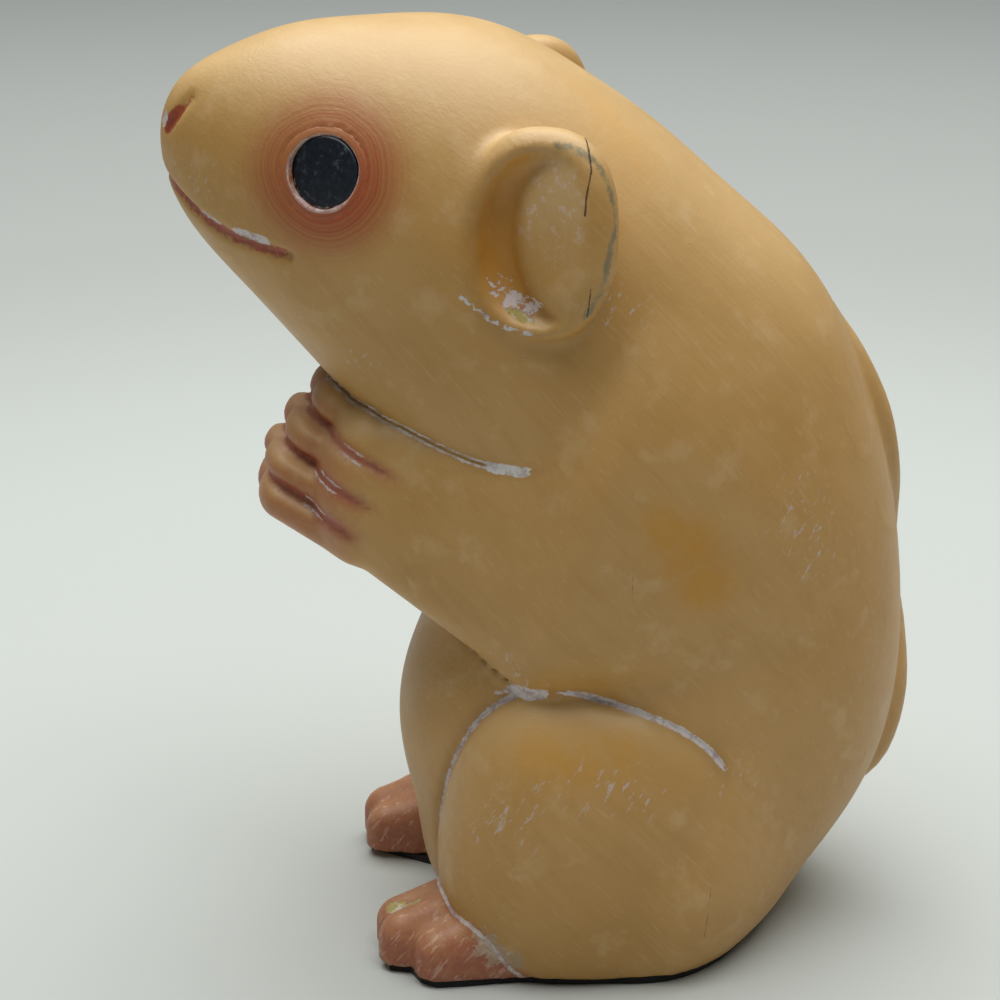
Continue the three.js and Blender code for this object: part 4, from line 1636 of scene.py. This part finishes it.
class MouseFigure:
    """The finished figure: carving, eye discs and pad.

    Attributes:
        fine_cell: Size of the skin's cells, in millimetres.
        highlight_share: How much paler an upward face is painted, as a painted highlight.
    """

    fine_cell = 1.15
    quick_cell = 2.2
    highlight_share = 0.55

    def __init__(self) -> None:
        """Sets out the carving and its finishes."""
        self.carving = Carving()
        self.weathering = Weathering()
        self.paint = OilPaintOnGesso().build()
        self.eye_paint = WornEyePaint().build()
        self.felt = BlackFelt().build()
        eye = self.carving.eyes[0]
        out, _, _ = eye.axes()
        drawn = eye.middle(self.carving.torso)[1] - out[1] * (eye.set_back + eye.thickness / 2)
        low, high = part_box("eye_left")
        self.middle_y = float(drawn - (low[1] + high[1]) / 2 / MM)

    def carve_body(self) -> bpy.types.Object:
        """Builds the carving's skin with its traces of paint and wear.

        Returns:
            The piece that stands for the CAD body.
        """
        skin = Skin(self.fine_cell)
        skin.net(skin.sample(self.carving))
        skin.settle(self.carving)
        for eye in self.carving.eyes:
            skin.add_rim(eye, self.carving.torso)
        place = in_frame(skin.points, self.middle_y)
        piece = new_piece("mouse_carving", place, skin.faces, self.paint)
        traces = self.weathering.traces(self.carving, skin.points)
        normals = np.zeros(3 * len(skin.points), np.float32)
        piece.data.vertex_normals.foreach_get("vector", normals)
        # Upward faces are painted paler, less so on the feet: a painted highlight.
        upward = ramp(normals.reshape(-1, 3)[:, 2], 0.1, 0.95)
        carry(piece, {**traces, "upward_highlight": self.highlight_share * upward * (1.0 - 0.6 * traces["feet"])})
        LOG.info("mouse_carving: %d points, %d faces", len(skin.points), len(skin.faces))
        return piece

    def set_eye(self, eye: EyeSeat) -> bpy.types.Object:
        """Builds one slightly domed eye disc.

        Args:
            eye: Where it is set.

        Returns:
            The piece that stands for the CAD disc.
        """
        out, along, up = eye.axes()
        middle = eye.middle(self.carving.torso)
        profile = [(0.0, 0.3), (1.6, 0.29), (3.2, 0.25), (4.6, 0.16), (5.9, 0.05), (6.55, -0.02)]
        profile += [(6.84, -0.1), (6.95, -0.3), (6.95, -1.2), (6.6, -1.4), (0.0, -1.4)]
        spokes = 72
        turn = 2.0 * np.pi * np.arange(spokes) / spokes
        round_it = np.cos(turn)[:, None] * along + np.sin(turn)[:, None] * up
        points, edge = [], []
        for radius, lift in profile:
            ring = middle + radius * round_it + (lift - eye.set_back) * out
            points.append(ring if radius > 0.0 else ring[:1])
            rubbed = max((radius - 4.9) / 2.0, 0.0) * np.clip(0.45 - 0.75 * np.sin(turn + 0.3), 0.0, 1.0)
            edge.append(rubbed if radius > 0.0 else np.zeros(1))
        faces = []
        starts = np.cumsum([0] + [len(ring) for ring in points])
        for ring in range(len(profile) - 1):
            a, b = starts[ring], starts[ring + 1]
            for i in range(spokes):
                j = (i + 1) % spokes
                if len(points[ring]) == 1:
                    face = [a, b + i, b + j]
                elif len(points[ring + 1]) == 1:
                    face = [a + i, b, a + j]
                else:
                    face = [a + i, b + i, b + j, a + j]
                faces.append(face if eye.side is Side.LEFT else face[::-1])
        name = "eye_left" if eye.side is Side.LEFT else "eye_right"
        place = in_frame(np.vstack(points), self.middle_y)
        piece = new_piece(f"{name}_disc", place, faces, self.eye_paint)
        carry(piece, {"edge": np.concatenate(edge)})
        LOG.info("%s: %d faces", piece.name, len(faces))
        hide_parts(name)
        return piece

    def build(self) -> None:
        """Builds, dresses and declares every piece."""
        body = self.carve_body()
        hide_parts("mouse_body")
        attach(body, "root")
        for eye in self.carving.eyes:
            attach(self.set_eye(eye), "root")
        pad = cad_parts["base_pad"]
        pad.data.materials.clear()
        pad.data.materials.append(self.felt)
        LOG.info("base_pad: dressed in felt")


@dataclass(frozen=True)
class Studio:
    """Pale board, a broad soft ceiling light and the camera, in metres, degrees and watts."""

    azimuth: float = 84.0
    elevation: float = 20.7
    distance: float = 0.5166
    focal: float = 86.4
    target: Spot = (0.0, -0.01197, 0.09568)
    sensor: float = 36.0
    board: float = 4.0
    lamp_at: Spot = (-0.15, 0.05, 1.5)
    lamp_aim: Spot = (0.0, 0.0, 0.1)
    lamp_size: float = 1.8
    lamp_power: float = 38.0
    air: str = "#DDE4E0"
    air_strength: float = 0.15

    def back(self) -> Vector:
        """Unit vector from the figure towards the camera."""
        turn, rise = math.radians(self.azimuth), math.radians(self.elevation)
        return Vector((math.sin(turn) * math.cos(rise), -math.cos(turn) * math.cos(rise), math.sin(rise)))

    def hang_lamp(self) -> None:
        """Hangs the square soft light, which is white."""
        data = bpy.data.lights.new("ceiling_softbox", "AREA")
        data.shape = "SQUARE"
        data.size = self.lamp_size
        data.energy = self.lamp_power
        light = bpy.data.objects.new("ceiling_softbox", data)
        light.location = self.lamp_at
        sight = Vector(self.lamp_aim) - Vector(self.lamp_at)
        light.rotation_euler = sight.to_track_quat("-Z", "Y").to_euler()
        bpy.context.scene.collection.objects.link(light)

    def build(self) -> None:
        """Sets up the board, lights and camera."""
        half = self.board / 2
        corners = np.array([[-half, -half, 0.0], [half, -half, 0.0], [half, half, 0.0], [-half, half, 0.0]])
        board = new_piece("studio_board", corners, [[0, 1, 2, 3]], StudioCard().build())
        self.hang_lamp()
        world = bpy.data.worlds.new("studio_air")
        world.use_nodes = True
        air = world.node_tree.nodes["Background"]
        air.inputs["Color"].default_value = linear(self.air)
        air.inputs["Strength"].default_value = self.air_strength
        bpy.context.scene.world = world
        bpy.context.scene.view_settings.view_transform = "Standard"
        data = bpy.data.cameras.new("camera")
        data.lens = self.focal
        data.sensor_width = self.sensor
        camera = bpy.data.objects.new("camera", data)
        camera.location = Vector(self.target) + self.back() * self.distance
        camera.rotation_euler = (-self.back()).to_track_quat("-Z", "Y").to_euler()
        bpy.context.scene.collection.objects.link(camera)
        bpy.context.scene.camera = camera
        LOG.info("studio: board, ceiling light and camera")


def main() -> None:
    """Builds the studio and the figure."""
    Studio().build()
    MouseFigure().build()


if __name__ == "__main__":
    main()
